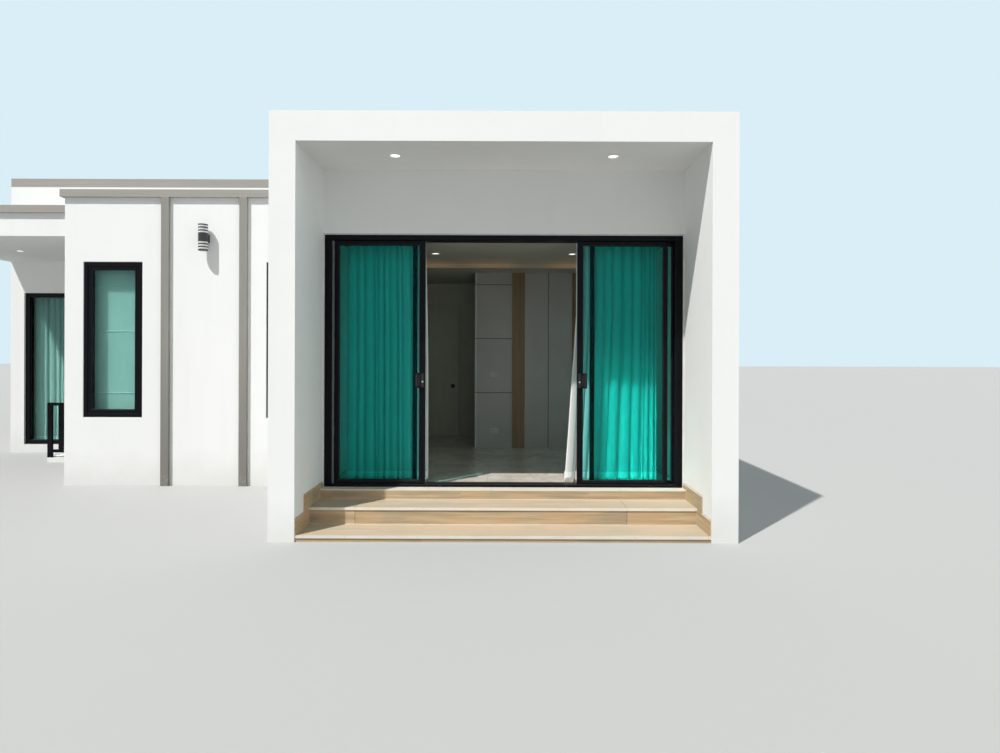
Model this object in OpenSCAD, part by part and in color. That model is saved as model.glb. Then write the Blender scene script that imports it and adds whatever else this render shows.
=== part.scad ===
// A one-storey bungalow: a white box portal with a sliding door and steps, a lower wing with
// windows, a roofed side porch and a taller main block behind.
// X runs along the front, Y runs from the front to the back, Z is up from the ground.

/* [Portal] */
// Width of the white box portal at the front
portal_w = 3880; // [3300:10:5000]
// Height of the portal above the ground
portal_h = 3560; // [3400:10:4200]
// Thickness of the portal's two side walls
fin_t = 220; // [150:2:320]
// Thickness of the portal's roof slab
portal_roof_t = 250; // [150:10:350]
// Depth of the recess in front of the door
portal_recess = 780; // [700:10:1200]

/* [Steps] */
// Height of the living room floor above the ground
floor_h = 290; // [270:1:450]
// Height of the lower tread
lower_tread_h = 52; // [30:1:90]
// Height of the upper tread
upper_tread_h = 200; // [140:1:240]
// Depth of the ledge in front of the door
ledge_d = 112; // [40:1:150]
// Depth of the upper tread
upper_tread_d = 313; // [250:1:320]
// Depth of the lower tread
lower_tread_d = 340; // [250:1:350]
// Height of a nosing strip
nosing_h = 22; // [10:1:30]
// How far a nosing strip stands out from its riser
nosing_out = 8; // [4:1:14]
// Thickness of the cream tile on the ledge
ledge_tile_t = 9; // [6:1:20]
// Thickness of the tile skirting on the side walls
skirting_t = 10; // [6:1:20]
// Height of the skirting above the tread
skirting_h = 132; // [80:1:180]
// How far the upper skirting runs out over the lower tread
skirting_lead = 124; // [60:1:200]

/* [Sliding door] */
// Height of the door unit
door_h = 2402; // [2100:2:2500]
// Depth of the door's outer frame
door_frame_d = 130; // [110:5:200]
// Width of the frame's jambs
door_jamb_w = 87; // [50:1:120]
// Height of the frame's head
door_head_h = 52; // [40:1:100]
// Height of the frame's sill
door_sill_h = 24; // [15:1:50]
// Height of the roller rail on the sill
door_rail_h = 6; // [5.5:0.5:12]
// Thickness of a leaf
leaf_t = 40; // [30:1:50]
// Width of a leaf
leaf_w = 862; // [780:1:900]
// Width of a leaf's outer stile
leaf_stile_w = 38; // [30:1:90]
// Width of a fixed sash's bar at its jamb
jamb_bar_w = 8; // [5:1:40]
// Width of a leaf's meeting stile
leaf_meeting_w = 52; // [40:1:100]
// Height of a leaf's top rail
leaf_top_h = 32; // [25:1:90]
// Height of a leaf's bottom rail
leaf_bottom_h = 28; // [25:1:120]
// Thickness of the glass
glass_t = 20; // [8:1:28]
// Distance of the left leaf's meeting edge from the middle, as it stands
left_leaf_open = 750; // [10:1:755]
// Distance of the right leaf's meeting edge from the middle, as it stands
right_leaf_open = 705; // [10:1:755]
// Overlap of a closed leaf with the fixed sash beside it
interlock = 28; // [10:1:36]
// Distance from the door frame's face to the leaves
leaf_set = 20; // [5:1:35]
// Gap over a leaf and at its edges when it is fully open or closed
leaf_gap = 5; // [3:0.5:10]
// Gap between the leaves and the fixed sashes
track_gap = 10; // [5:1:20]
// Width of the roller rail on the sill
rail_w = 8; // [4:1:16]
// Width of the lock case on a meeting stile
lock_w = 92; // [60:1:140]
// Height of the lock case
lock_h = 145; // [100:1:240]
// Thickness of the lock case
lock_t = 24; // [10:1:40]
// Height of the lock case's middle above the living room floor
lock_z = 1015; // [800:5:1200]

/* [Wing] */
// Width of the wing to the left of the portal
wing_w = 3235; // [2800:5:4500]
// Distance from the portal's front to the wing's front wall
wing_setback = 2155; // [1500:5:2400]
// Height of the wing's coping above the ground
wing_h = 3480; // [3200:10:3550]
// Thickness of the outer walls
wall_t = 200; // [150:5:300]
// Height of the wing's coping band
wing_coping_h = 88; // [50:1:150]
// How far the wing's coping stands out from the wall
coping_out = 38; // [10:1:80]
// Width of a pilaster strip
pilaster_w = 90; // [60:1:200]
// Distance from the wing's left corner to the first pilaster
pilaster_1_x = 1153; // [1060:1:1200]
// Distance from the second pilaster to the portal
pilaster_2_x = 1074; // [1000:1:1200]
// Width of the joint between two lengths of coping
coping_joint = 3; // [2:0.5:6]

/* [Windows] */
// Width of a window
win_w = 700; // [500:5:760]
// Height of a window
win_h = 1840; // [1200:10:1900]
// Height of a window's sill above the ground
win_sill_h = 797; // [700:1:900]
// Width of a window's outer frame bars
win_bar = 52; // [30:1:70]
// Width of a window's sash bars
win_sash = 42; // [25:1:60]
// Depth of a window's frame
win_frame_d = 70; // [60:1:120]
// How far a window's frame lies behind the wall's face
win_reveal = 5; // [0:1:60]
// How far the sash lies behind the frame's face
win_sash_set = 6; // [3:1:30]
// How far a window's glass lies behind its sash's face
win_glass_set = 8; // [4:1:40]
// Distance from the wing's left corner to the first window
window_1_x = 218; // [210:1:300]
// Distance from the second window to the portal
window_2_x = 159; // [60:1:170]
// Number of windows in the back wall
back_windows = 3; // [2:1:5]

/* [Wall light] */
// Diameter of the wall light
wall_light_d = 107; // [80:1:150]
// Height of the wall light
wall_light_h = 306; // [300:1:400]
// Height of the wall light's foot above the ground
wall_light_z = 2756; // [2500:1:2850]
// Distance of the wall light from the middle between the pilasters, to the right
wall_light_x = 12; // [-100:1:100]
// Gap between the wall light and the wall
wall_light_gap = 28; // [15:1:60]
// Height of the wall light's black body
light_body_h = 104; // [80:1:140]
// Height of a ring round a lamp
light_ring_h = 14; // [8:1:20]
// Distance between two rings, from foot to foot
light_ring_pitch = 34; // [25:1:40]
// How far the rings stand out from the lamp
light_ring_out = 12; // [5:1:20]
// Width of the wall light's bracket
light_bracket_w = 82; // [20:1:100]
// Height of the wall light's bracket
light_bracket_h = 100; // [50:1:120]

/* [Porch] */
// Width of the side porch
porch_w = 2565; // [2300:5:3200]
// Distance from the portal's front to the porch roof's front
porch_setback = 2430; // [2250:5:3000]
// Height of the porch roof above the ground
porch_h = 3360; // [3200:5:3380]
// Thickness of the porch roof under its coping
porch_roof_t = 282; // [200:2:400]
// Height of the glazing's top above the ground
glazing_top = 2505; // [2200:5:2700]
// Distance from the wing to the porch's glazing
glazing_right_x = 215; // [60:1:400]
// Distance from the main block's left wall, on its inside, to the porch's glazing
glazing_left_x = 10; // [5:1:200]
// How far the glazing's frame lies behind the wall's face
glazing_set = 30; // [0:1:60]
// Width of the glazing's frame bars
glazing_bar = 62; // [40:1:90]
// Depth of the glazing's frame
glazing_d = 100; // [60:1:140]
// Distance from the wing to the porch's downlight
porch_light_x = 1620; // [600:10:2200]
// Distance from the porch roof's front to its downlight
porch_light_y = 1100; // [300:10:1800]
// Width of the landing in front of the glazing
landing_w = 1345; // [1000:5:2000]
// Depth of the landing
landing_d = 855; // [600:5:1200]
// Height of the landing
landing_h = 66; // [40:1:130]
// Height of the railing above the ground
railing_h = 850; // [700:5:1100]
// Height of the railing's lower rail above the landing
railing_foot_h = 72; // [40:1:150]
// Width of a railing bar
railing_bar_w = 66; // [30:1:70]
// Thickness of a railing bar
railing_bar_t = 30; // [15:1:50]
// Height of a railing's rails
railing_rail_h = 42; // [30:1:70]
// Number of gaps between the railing's bars
railing_gaps = 8; // [4:1:12]

/* [Main block] */
// Distance from the portal's front to the main block's front wall
main_setback = 4535; // [4400:5:6000]
// Depth of the main block
main_d = 4365; // [3000:5:4900]
// Height of the main block above the ground
main_h = 4300; // [4000:10:5000]
// Height of the main block's coping band
main_coping_h = 133; // [60:1:200]
// Height of the main block's floor above the ground
main_floor_h = 128; // [80:1:250]
// Thickness of the flat roofs
roof_t = 150; // [100:5:200]
// Height of a parapet above its flat roof, without the coping
parapet_h = 120; // [50:5:200]

/* [Room behind the door] */
// Height of the ceiling's border above the living room floor
border_h = 2380; // [2300:1:2500]
// How far the ceiling's middle is raised above its border
tray_rise = 50; // [30:1:90]
// Thickness of the ceiling's border
ceiling_t = 120; // [100:1:200]
// Distance from the portal's front to the end of the ceiling's raised middle
tray_end_y = 2800; // [2500:5:3100]
// Distance from the portal's front to the panelled wall
panelling_y = 3250; // [3150:5:3800]
// Thickness of the panelled wall
panelling_t = 200; // [100:5:400]
// Distance of the panelled wall's left end from the middle of the door
panelling_left = 387; // [200:1:600]
// Distance of the first timber strip from the middle of the door
strip_1_x = 116; // [50:1:250]
// Distance of the second timber strip from the middle of the door
strip_2_x = 931; // [800:1:1300]
// Width of a timber strip
strip_w = 172; // [80:1:220]
// Thickness of a timber strip
strip_t = 8; // [4:1:30]
// Width and depth of the grooves between the panels
groove_w = 8; // [4:1:16]
// Number of level grooves
level_grooves = 3; // [1:1:3]
// Height of the lowest groove above the living room floor
groove_z = 748; // [500:1:900]
// Distance between two level grooves
groove_step = 733; // [500:1:900]
// Width of the plain door at the end of the passage
passage_door_w = 800; // [600:5:900]
// Height of the plain door at the end of the passage
passage_door_h = 2050; // [1900:5:2200]
// Thickness of the plain door at the end of the passage
passage_door_t = 36; // [20:1:60]
// Distance of the plain door's right edge from the middle of the door
passage_door_x = 700; // [450:1:800]
// Diameter of the plain door's knob
knob_d = 50; // [30:1:70]
// Length of the plain door's knob
knob_len = 45; // [30:1:80]
// Distance of the knob from the plain door's right edge
knob_x = 90; // [50:1:120]
// Height of the knob above the living room floor
knob_z = 777; // [700:1:1100]
// Width of the open doorways between the parts of the house
opening_side = 300; // [200:5:500]

/* [Curtains and lights] */
// Gap between the wall over the door and the curtains behind it
curtain_gap = 5; // [5:5:200]
// Thickness of a gathered curtain
curtain_t = 70; // [30:1:90]
// Distance of the left curtain's inner edge from the middle of the door
left_curtain_x = 745; // [500:1:900]
// Distance of the right curtain's inner edge from the middle of the door
right_curtain_x = 600; // [500:1:900]
// Gap of a curtain to the floor, and of the porch's curtain to its opening's sides
curtain_hem = 5; // [5:1:40]
// Distance of the door curtains' outer edges from the side walls
curtain_end_gap = 165; // [5:5:300]
// Height of the curtain track
track_h = 25; // [15:1:40]
// Gap between the porch's glazing and its curtain
porch_curtain_gap = 10; // [5:5:100]
// Thickness of a blind
blind_t = 4; // [2:1:10]
// Gap between a window's frame and its blind
blind_gap = 58; // [2:1:70]
// Gap between a blind's edges and the sides of the window's opening
blind_side_gap = 8; // [3:1:40]
// Diameter of a downlight
downlight_d = 100; // [60:1:140]
// Thickness of a downlight
downlight_t = 14; // [8:1:30]
// Distance of the portal's downlights from the middle of the door
downlight_x = 967; // [600:1:1200]
// Distance of the portal's downlights from the portal's front
downlight_y = 380; // [200:1:450]
// Distance of the room's downlights from the middle of the door
room_light_x = 790; // [500:1:1200]
// Distance of the room's downlights from the portal's front
room_light_y = 2020; // [1800:5:2400]

/* [Hidden] */
$fn = 48;

// Colours of the house
WHITE = [0.95, 0.95, 0.93];
GREY = [0.58, 0.57, 0.55];
BLACK = [0.10, 0.09, 0.10];
TILE = [0.80, 0.68, 0.53];
CREAM = [0.95, 0.92, 0.85];
STONE = [0.62, 0.62, 0.60];
GLASS = [0.45, 0.70, 0.64, 0.5];
TIMBER = [0.62, 0.44, 0.28];
CLOTH = [0.90, 0.90, 0.88];

// A cut runs past a face by this much
cut = 1;
// A sliding or soft piece lies this far above its seat
seat_gap = 0.3;

// Places along the front
house_w = porch_w + wing_w + portal_w;
x_left = -house_w / 2;
x_wing = x_left + porch_w;
x_portal = x_wing + wing_w;
x_right = x_portal + portal_w;
x_door = (x_portal + x_right) / 2;
x_in_left = x_portal + fin_t;
x_in_right = x_right - fin_t;

// Places from the front to the back
house_d = main_setback + main_d;
y_front = -house_d / 2;
y_door = y_front + portal_recess;
y_wing = y_front + wing_setback;
y_porch = y_front + porch_setback;
y_main = y_front + main_setback;
y_back = y_front + house_d;

// Levels
soffit_h = portal_h - portal_roof_t;
door_top = floor_h + door_h;
wing_wall_h = wing_h - wing_coping_h;
wing_roof_z = wing_wall_h - parapet_h - roof_t;
main_wall_h = main_h - main_coping_h;
main_roof_z = main_wall_h - parapet_h - roof_t;
porch_roof_top = porch_h - wing_coping_h;
porch_soffit_h = porch_roof_top - porch_roof_t;
border_z = floor_h + border_h;
tray_z = border_z + tray_rise;

// The risers, from the portal's front
door_riser_y = portal_recess - ledge_d;
upper_riser_y = door_riser_y - upper_tread_d;
lower_riser_y = upper_riser_y - lower_tread_d;

// The door's planes and edges
y_leaf = y_door + leaf_set;
y_fixed = y_leaf + leaf_t + track_gap;
x_jamb_left = x_in_left + door_jamb_w;
x_jamb_right = x_in_right - door_jamb_w;
leaf_z = floor_h + door_sill_h + door_rail_h + seat_gap;
leaf_top = door_top - door_head_h - leaf_gap;
fixed_edge = leaf_w - interlock;

// The doorways inside the house
x_wing_open_0 = x_wing + wall_t + opening_side;
x_wing_open_1 = x_portal - opening_side;
y_side_open_0 = y_wing + wall_t + opening_side;
y_side_open_1 = y_main - opening_side;

// The pilasters, the wall light between them and the plane of the windows' glass
x_pilaster_1 = x_wing + pilaster_1_x;
x_pilaster_2 = x_portal - pilaster_2_x - pilaster_w;
x_wall_light = (x_pilaster_1 + x_pilaster_2 + pilaster_w) / 2 + wall_light_x;
win_glass_y = win_reveal + win_sash_set + win_glass_set;

// The porch's glazing
x_glazing_0 = x_left + wall_t + glazing_left_x;
x_glazing_1 = x_wing - glazing_right_x;
x_glazing_mid = (x_glazing_0 + x_glazing_1) / 2;
y_glazing = y_main + glazing_set;

// The plane of the curtains behind the door
y_curtain = y_door + max(wall_t, door_frame_d) + curtain_gap;

// Each window is [x, y, turn] at its lower left corner, seen from outside
FRONT_WINDOWS = [
    [x_wing + window_1_x, y_wing, 0],
    [x_portal - window_2_x - win_w, y_wing, 0]
];
RIGHT_WINDOWS = [
    [x_right, (y_door + y_main - win_w) / 2, 90]
];
MAIN_RIGHT_WINDOWS = [
    [x_right, (y_main + y_back - win_w) / 2, 90]
];
MAIN_LEFT_WINDOWS = [
    [x_left, (y_main + y_back + win_w) / 2, -90]
];
back_pitch = house_w / back_windows;
BACK_WINDOWS = [
    for (i = [0 : back_windows - 1])
        [x_right - back_pitch * (i + 0.5) + win_w / 2, y_back, 180]
];
WINDOWS = concat(FRONT_WINDOWS, RIGHT_WINDOWS, MAIN_RIGHT_WINDOWS, MAIN_LEFT_WINDOWS, BACK_WINDOWS);

// A box between two opposite corners
module box(from, to) {
    translate(from) cube(to - from);
}

// An upright rectangular frame that faces the front, open in its middle
module frame_box(from, to, side_0, side_1, bottom, top) {
    difference() {
        box(from, to);
        box([from.x + side_0, from.y - cut, from.z + bottom], [to.x - side_1, to.y + cut, to.z - top]);
    }
}

// Puts its children at each window of a list
module at_windows(windows) {
    for (w = windows)
        translate([w.x, w.y, win_sill_h]) rotate([0, 0, w.z]) children();
}

// The hole of a window in a wall of the given thickness
module window_holes(windows, thickness) {
    at_windows(windows) box([0, -cut, 0], [win_w, thickness + cut, win_h]);
}

module portal_left_wall() color(WHITE) difference() {
    box([x_portal, y_front, 0], [x_in_left, y_main, soffit_h]);
    box([x_portal - cut, y_side_open_0, floor_h], [x_in_left + cut, y_side_open_1, border_z]);
}

module portal_right_wall() color(WHITE) difference() {
    box([x_in_right, y_front, 0], [x_right, y_main, soffit_h]);
    window_holes(RIGHT_WINDOWS, fin_t);
}

module portal_roof() color(WHITE) difference() {
    box([x_portal, y_front, soffit_h], [x_right, y_main, portal_h]);
    for (side = [-1, 1])
        translate([x_door + side * downlight_x, y_front + downlight_y, soffit_h - cut])
            cylinder(d = downlight_d + 1, h = downlight_t + cut);
}

module door_lintel() color(WHITE)
    box([x_in_left, y_door, door_top], [x_in_right, y_door + wall_t, soffit_h]);

module lower_step() color(TILE)
    box([x_in_left, y_front + lower_riser_y, 0], [x_in_right, y_front + upper_riser_y, lower_tread_h]);

module upper_step() color(TILE)
    box([x_in_left, y_front + upper_riser_y, 0], [x_in_right, y_front + door_riser_y, upper_tread_h]);

module door_step() color(TILE)
    box([x_in_left, y_front + door_riser_y, 0], [x_in_right, y_door, floor_h - ledge_tile_t]);

module nosing(riser_y, tread_h) {
    box([x_in_left, y_front + riser_y - nosing_out, tread_h - nosing_h], [x_in_right, y_front + riser_y, tread_h]);
}

// The cream strips of the two treads, and the cream tile on the ledge in front of the door
module step_nosings() color(CREAM) {
    nosing(lower_riser_y, lower_tread_h);
    nosing(upper_riser_y, upper_tread_h);
    box([x_in_left, y_front + door_riser_y, floor_h - ledge_tile_t], [x_in_right, y_door, floor_h]);
}

// The stepped outline of a skirting, seen from the left: depth, then height
module skirting_outline() {
    lead_y = upper_riser_y - skirting_lead;
    polygon([
        [lower_riser_y, lower_tread_h],
        [lower_riser_y, lower_tread_h + skirting_h],
        [lead_y, lower_tread_h + skirting_h],
        [lead_y, upper_tread_h + skirting_h],
        [portal_recess, upper_tread_h + skirting_h],
        [portal_recess, floor_h],
        [door_riser_y, floor_h],
        [door_riser_y, upper_tread_h],
        [upper_riser_y - nosing_out, upper_tread_h],
        [upper_riser_y - nosing_out, lower_tread_h]
    ]);
}

module step_skirtings() color(TILE)
    for (x = [x_in_left, x_in_right - skirting_t])
        translate([x, y_front, 0]) rotate([90, 0, 90]) linear_extrude(skirting_t) skirting_outline();

// The floors of the room behind the door, of the wing and of the main block
module floors() color(STONE) {
    box([x_in_left, y_door, 0], [x_in_right, y_main, floor_h]);
    box([x_wing + wall_t, y_wing + wall_t, 0], [x_portal, y_main, floor_h]);
    box([x_left + wall_t, y_main + wall_t, 0], [x_right - wall_t, y_back - wall_t, main_floor_h]);
}

// The sill carries the rail that the leaves' rollers run on
module door_frame() color(BLACK) {
    frame_box(
        [x_in_left, y_door, floor_h], [x_in_right, y_door + door_frame_d, door_top],
        door_jamb_w, door_jamb_w, door_sill_h, door_head_h
    );
    rail_y = y_leaf + leaf_t / 2;
    box(
        [x_jamb_left, rail_y - rail_w / 2, floor_h + door_sill_h],
        [x_jamb_right, rail_y + rail_w / 2, leaf_z - seat_gap]
    );
}

// A fixed sash runs from its jamb to just behind the closed leaf
module fixed_sash(x0, x1, side_0, side_1) {
    frame_box(
        [x0, y_fixed, floor_h + door_sill_h], [x1, y_fixed + leaf_t, door_top - door_head_h],
        side_0, side_1, leaf_bottom_h, leaf_top_h
    );
}

module fixed_sashes() color(BLACK) {
    fixed_sash(x_jamb_left, x_door - fixed_edge, jamb_bar_w, leaf_stile_w);
    fixed_sash(x_door + fixed_edge, x_jamb_right, leaf_stile_w, jamb_bar_w);
}

// A pane in the middle of a sash's depth
module door_pane(x0, x1, y0, z0, z1) {
    pane_y = y0 + (leaf_t - glass_t) / 2;
    box([x0, pane_y, z0 + leaf_bottom_h], [x1, pane_y + glass_t, z1 - leaf_top_h]);
}

module fixed_glass() color(GLASS) {
    z0 = floor_h + door_sill_h;
    z1 = door_top - door_head_h;
    door_pane(x_jamb_left + jamb_bar_w, x_door - fixed_edge - leaf_stile_w, y_fixed, z0, z1);
    door_pane(x_door + fixed_edge + leaf_stile_w, x_jamb_right - jamb_bar_w, y_fixed, z0, z1);
}

module left_leaf_frame() color(BLACK)
    frame_box(
        [x_door - left_leaf_open - leaf_w, y_leaf, leaf_z], [x_door - left_leaf_open, y_leaf + leaf_t, leaf_top],
        leaf_stile_w, leaf_meeting_w, leaf_bottom_h, leaf_top_h
    );

module right_leaf_frame() color(BLACK)
    frame_box(
        [x_door + right_leaf_open, y_leaf, leaf_z], [x_door + right_leaf_open + leaf_w, y_leaf + leaf_t, leaf_top],
        leaf_meeting_w, leaf_stile_w, leaf_bottom_h, leaf_top_h
    );

module left_leaf_glass() color(GLASS)
    door_pane(
        x_door - left_leaf_open - leaf_w + leaf_stile_w, x_door - left_leaf_open - leaf_meeting_w,
        y_leaf, leaf_z, leaf_top
    );

module right_leaf_glass() color(GLASS)
    door_pane(
        x_door + right_leaf_open + leaf_meeting_w, x_door + right_leaf_open + leaf_w - leaf_stile_w,
        y_leaf, leaf_z, leaf_top
    );

// The lock case is flat against the front of its leaf, from the meeting edge inwards
module lock_case(x0) {
    z0 = floor_h + lock_z - lock_h / 2;
    box([x0, y_leaf - lock_t, z0], [x0 + lock_w, y_leaf, z0 + lock_h]);
}

module left_leaf_lock() color(BLACK) lock_case(x_door - left_leaf_open - lock_w);

module right_leaf_lock() color(BLACK) lock_case(x_door + right_leaf_open);

module curtain_track() color(WHITE)
    box([x_in_left, y_curtain, tray_z - track_h], [x_in_right, y_curtain + curtain_t, tray_z]);

module curtain(x0, x1) {
    box([x0, y_curtain, floor_h + curtain_hem], [x1, y_curtain + curtain_t, tray_z - track_h - seat_gap]);
}

module door_curtains() color(CLOTH) {
    curtain(x_in_left + curtain_end_gap, x_door - left_curtain_x);
    curtain(x_door + right_curtain_x, x_in_right - curtain_end_gap);
}

module living_ceiling() color(WHITE) difference() {
    box([x_in_left, y_door + wall_t, border_z], [x_in_right, y_main, border_z + ceiling_t]);
    box([x_in_left - cut, y_door + wall_t - cut, border_z - cut], [x_in_right + cut, y_front + tray_end_y, tray_z]);
    for (side = [-1, 1])
        translate([x_door + side * room_light_x, y_front + room_light_y, tray_z - cut])
            cylinder(d = downlight_d + 1, h = downlight_t + cut);
}

module panelled_wall() color(WHITE) {
    x0 = x_door - panelling_left;
    y0 = y_front + panelling_y;
    difference() {
        box([x0, y0, floor_h], [x_in_right, y0 + panelling_t, border_z]);
        for (i = [0 : level_grooves - 1])
            box(
                [x0 - cut, y0 - cut, floor_h + groove_z + i * groove_step],
                [x_door + strip_1_x, y0 + groove_w, floor_h + groove_z + i * groove_step + groove_w]
            );
        groove_x = x_door + (strip_1_x + strip_w + strip_2_x - groove_w) / 2;
        box([groove_x, y0 - cut, floor_h - cut], [groove_x + groove_w, y0 + groove_w, border_z + cut]);
    }
}

module timber_strips() color(TIMBER)
    for (x = [x_door + strip_1_x, x_door + strip_2_x])
        box(
            [x, y_front + panelling_y - strip_t, floor_h],
            [x + strip_w, y_front + panelling_y, border_z]
        );

module passage_door() color(WHITE) {
    x1 = x_door - passage_door_x;
    box([x1 - passage_door_w, y_main - passage_door_t, floor_h], [x1, y_main, floor_h + passage_door_h]);
    translate([x1 - knob_x, y_main - passage_door_t, floor_h + knob_z])
        rotate([90, 0, 0]) cylinder(d = knob_d, h = knob_len);
}

module downlight(x, y, z) {
    translate([x, y, z]) cylinder(d = downlight_d, h = downlight_t);
}

module downlights() color(WHITE) {
    for (side = [-1, 1]) {
        downlight(x_door + side * downlight_x, y_front + downlight_y, soffit_h);
        downlight(x_door + side * room_light_x, y_front + room_light_y, tray_z);
    }
    downlight(x_wing - porch_light_x, y_porch + porch_light_y, porch_soffit_h);
}

module wing_front_wall() color(WHITE) difference() {
    box([x_wing, y_wing, 0], [x_portal, y_wing + wall_t, wing_wall_h]);
    window_holes(FRONT_WINDOWS, wall_t);
}

module wing_left_wall() color(WHITE)
    box([x_wing, y_wing + wall_t, 0], [x_wing + wall_t, y_main, wing_wall_h]);

module wing_roof() color(GREY)
    box([x_wing + wall_t, y_wing + wall_t, wing_roof_z], [x_portal, y_main, wing_roof_z + roof_t]);

// The band along the front and the left side of the wing's parapet
module wing_coping() {
    z0 = wing_wall_h;
    x0 = x_wing - coping_out;
    y1 = y_wing + wall_t;
    box([x0, y_wing - coping_out, z0], [x_portal, y1, wing_h]);
    box([x0, y1 + coping_joint, z0], [x_wing + wall_t, y_main, wing_h]);
}

// The strips are flush with the coping above them
module wing_pilasters() color(GREY)
    for (x = [x_pilaster_1, x_pilaster_2])
        box([x, y_wing - coping_out, 0], [x + pilaster_w, y_wing, wing_wall_h]);

// The outer frame and its sash, as one piece
module window_frame() {
    frame_box([0, win_reveal, 0], [win_w, win_reveal + win_frame_d, win_h], win_bar, win_bar, win_bar, win_bar);
    frame_box(
        [win_bar, win_reveal + win_sash_set, win_bar],
        [win_w - win_bar, win_reveal + win_frame_d, win_h - win_bar],
        win_sash, win_sash, win_sash, win_sash
    );
}

module window_frames() color(BLACK) at_windows(WINDOWS) window_frame();

module window_panes() color(GLASS) {
    edge = win_bar + win_sash;
    at_windows(WINDOWS)
        box([edge, win_glass_y, edge], [win_w - edge, win_glass_y + glass_t, win_h - edge]);
    glazing_pane(x_glazing_0 + glazing_bar, x_glazing_mid - glazing_bar / 2);
    glazing_pane(x_glazing_mid + glazing_bar / 2, x_glazing_1 - glazing_bar);
}

// A blind hangs from the head of each window in the wing
module window_blinds() color(CLOTH) at_windows(FRONT_WINDOWS) {
    y0 = win_reveal + win_frame_d + blind_gap;
    box([blind_side_gap, y0, win_bar], [win_w - blind_side_gap, y0 + blind_t, win_h]);
}

// A black tube with rings round a pale lamp above and below it, on a bracket
module wall_light() color(BLACK) {
    r = wall_light_d / 2;
    mid_h = wall_light_h / 2;
    translate([x_wall_light, y_wing - wall_light_gap - r, wall_light_z]) {
        cylinder(r = r - light_ring_out, h = wall_light_h);
        translate([0, 0, mid_h - light_body_h / 2]) cylinder(r = r, h = light_body_h);
        for (i = [0 : 2])
            for (z = [i * light_ring_pitch, wall_light_h - light_ring_h - i * light_ring_pitch])
                translate([0, 0, z]) cylinder(r = r, h = light_ring_h);
        box(
            [-light_bracket_w / 2, 0, mid_h - light_bracket_h / 2],
            [light_bracket_w / 2, r + wall_light_gap, mid_h + light_bracket_h / 2]
        );
    }
}

module porch_roof() color(WHITE) difference() {
    box([x_left, y_porch, porch_soffit_h], [x_wing, y_main, porch_roof_top]);
    translate([x_wing - porch_light_x, y_porch + porch_light_y, porch_soffit_h - cut])
        cylinder(d = downlight_d + 1, h = downlight_t + cut);
}

// The band along the front and the left side of the porch's roof
module porch_coping() {
    y1 = y_porch + wall_t;
    box([x_left, y_porch - coping_out, porch_roof_top], [x_wing, y1, porch_h]);
    box([x_left, y1 + coping_joint, porch_roof_top], [x_left + wall_t, y_main, porch_h]);
}

module porch_glazing_frame() color(BLACK) {
    frame_box(
        [x_glazing_0, y_glazing, main_floor_h], [x_glazing_1, y_glazing + glazing_d, glazing_top],
        glazing_bar, glazing_bar, glazing_bar, glazing_bar
    );
    box(
        [x_glazing_mid - glazing_bar / 2, y_glazing, main_floor_h + glazing_bar],
        [x_glazing_mid + glazing_bar / 2, y_glazing + glazing_d, glazing_top - glazing_bar]
    );
}

// A pane of the porch's glazing, in the middle of its frame's depth
module glazing_pane(x0, x1) {
    pane_y = y_glazing + (glazing_d - glass_t) / 2;
    box([x0, pane_y, main_floor_h + glazing_bar], [x1, pane_y + glass_t, glazing_top - glazing_bar]);
}

// It hangs from the top of the glazing's opening
module porch_curtain() color(CLOTH) {
    y0 = y_glazing + glazing_d + porch_curtain_gap;
    box(
        [x_glazing_0 + curtain_hem, y0, main_floor_h + curtain_hem],
        [x_glazing_1 - curtain_hem, y0 + curtain_t, glazing_top]
    );
}

module porch_landing() color(TILE)
    box([x_wing - landing_w, y_main - landing_d, 0], [x_wing, y_main, landing_h]);

module porch_railing() color(BLACK) {
    x0 = x_wing - landing_w;
    y0 = y_main - landing_d;
    pitch = (landing_w - railing_bar_w) / railing_gaps;
    foot_z = landing_h + railing_foot_h;
    for (z = [foot_z, railing_h - railing_rail_h])
        box([x0, y0, z], [x_wing, y0 + railing_bar_t, z + railing_rail_h]);
    for (i = [0 : railing_gaps])
        box([x0 + i * pitch, y0, foot_z], [x0 + i * pitch + railing_bar_w, y0 + railing_bar_t, railing_h]);
    for (x = [x0, x_wing - railing_bar_w])
        box([x, y0, landing_h], [x + railing_bar_w, y0 + railing_bar_t, railing_h]);
}

module main_front_wall() color(WHITE) difference() {
    box([x_left, y_main, 0], [x_right, y_main + wall_t, main_wall_h]);
    box([x_glazing_0, y_main - cut, main_floor_h], [x_glazing_1, y_main + wall_t + cut, glazing_top]);
    box([x_wing_open_0, y_main - cut, floor_h], [x_wing_open_1, y_main + wall_t + cut, border_z]);
}

module main_left_wall() color(WHITE) difference() {
    box([x_left, y_main + wall_t, 0], [x_left + wall_t, y_back - wall_t, main_wall_h]);
    window_holes(MAIN_LEFT_WINDOWS, wall_t);
}

module main_back_wall() color(WHITE) difference() {
    box([x_left, y_back - wall_t, 0], [x_right, y_back, main_wall_h]);
    window_holes(BACK_WINDOWS, wall_t);
}

module main_right_wall() color(WHITE) difference() {
    box([x_right - wall_t, y_main + wall_t, 0], [x_right, y_back - wall_t, main_wall_h]);
    window_holes(MAIN_RIGHT_WINDOWS, wall_t);
}

module main_roof() color(GREY)
    box(
        [x_left + wall_t, y_main + wall_t, main_roof_z],
        [x_right - wall_t, y_back - wall_t, main_roof_z + roof_t]
    );

// The band all round the main block's parapet
module main_coping() {
    y0 = y_main + wall_t;
    y1 = y_back - wall_t;
    box([x_left, y_main, main_wall_h], [x_right, y0, main_h]);
    box([x_left, y1, main_wall_h], [x_right, y_back, main_h]);
    for (x = [x_left, x_right - wall_t])
        box([x, y0 + coping_joint, main_wall_h], [x + wall_t, y1 - coping_joint, main_h]);
}

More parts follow.
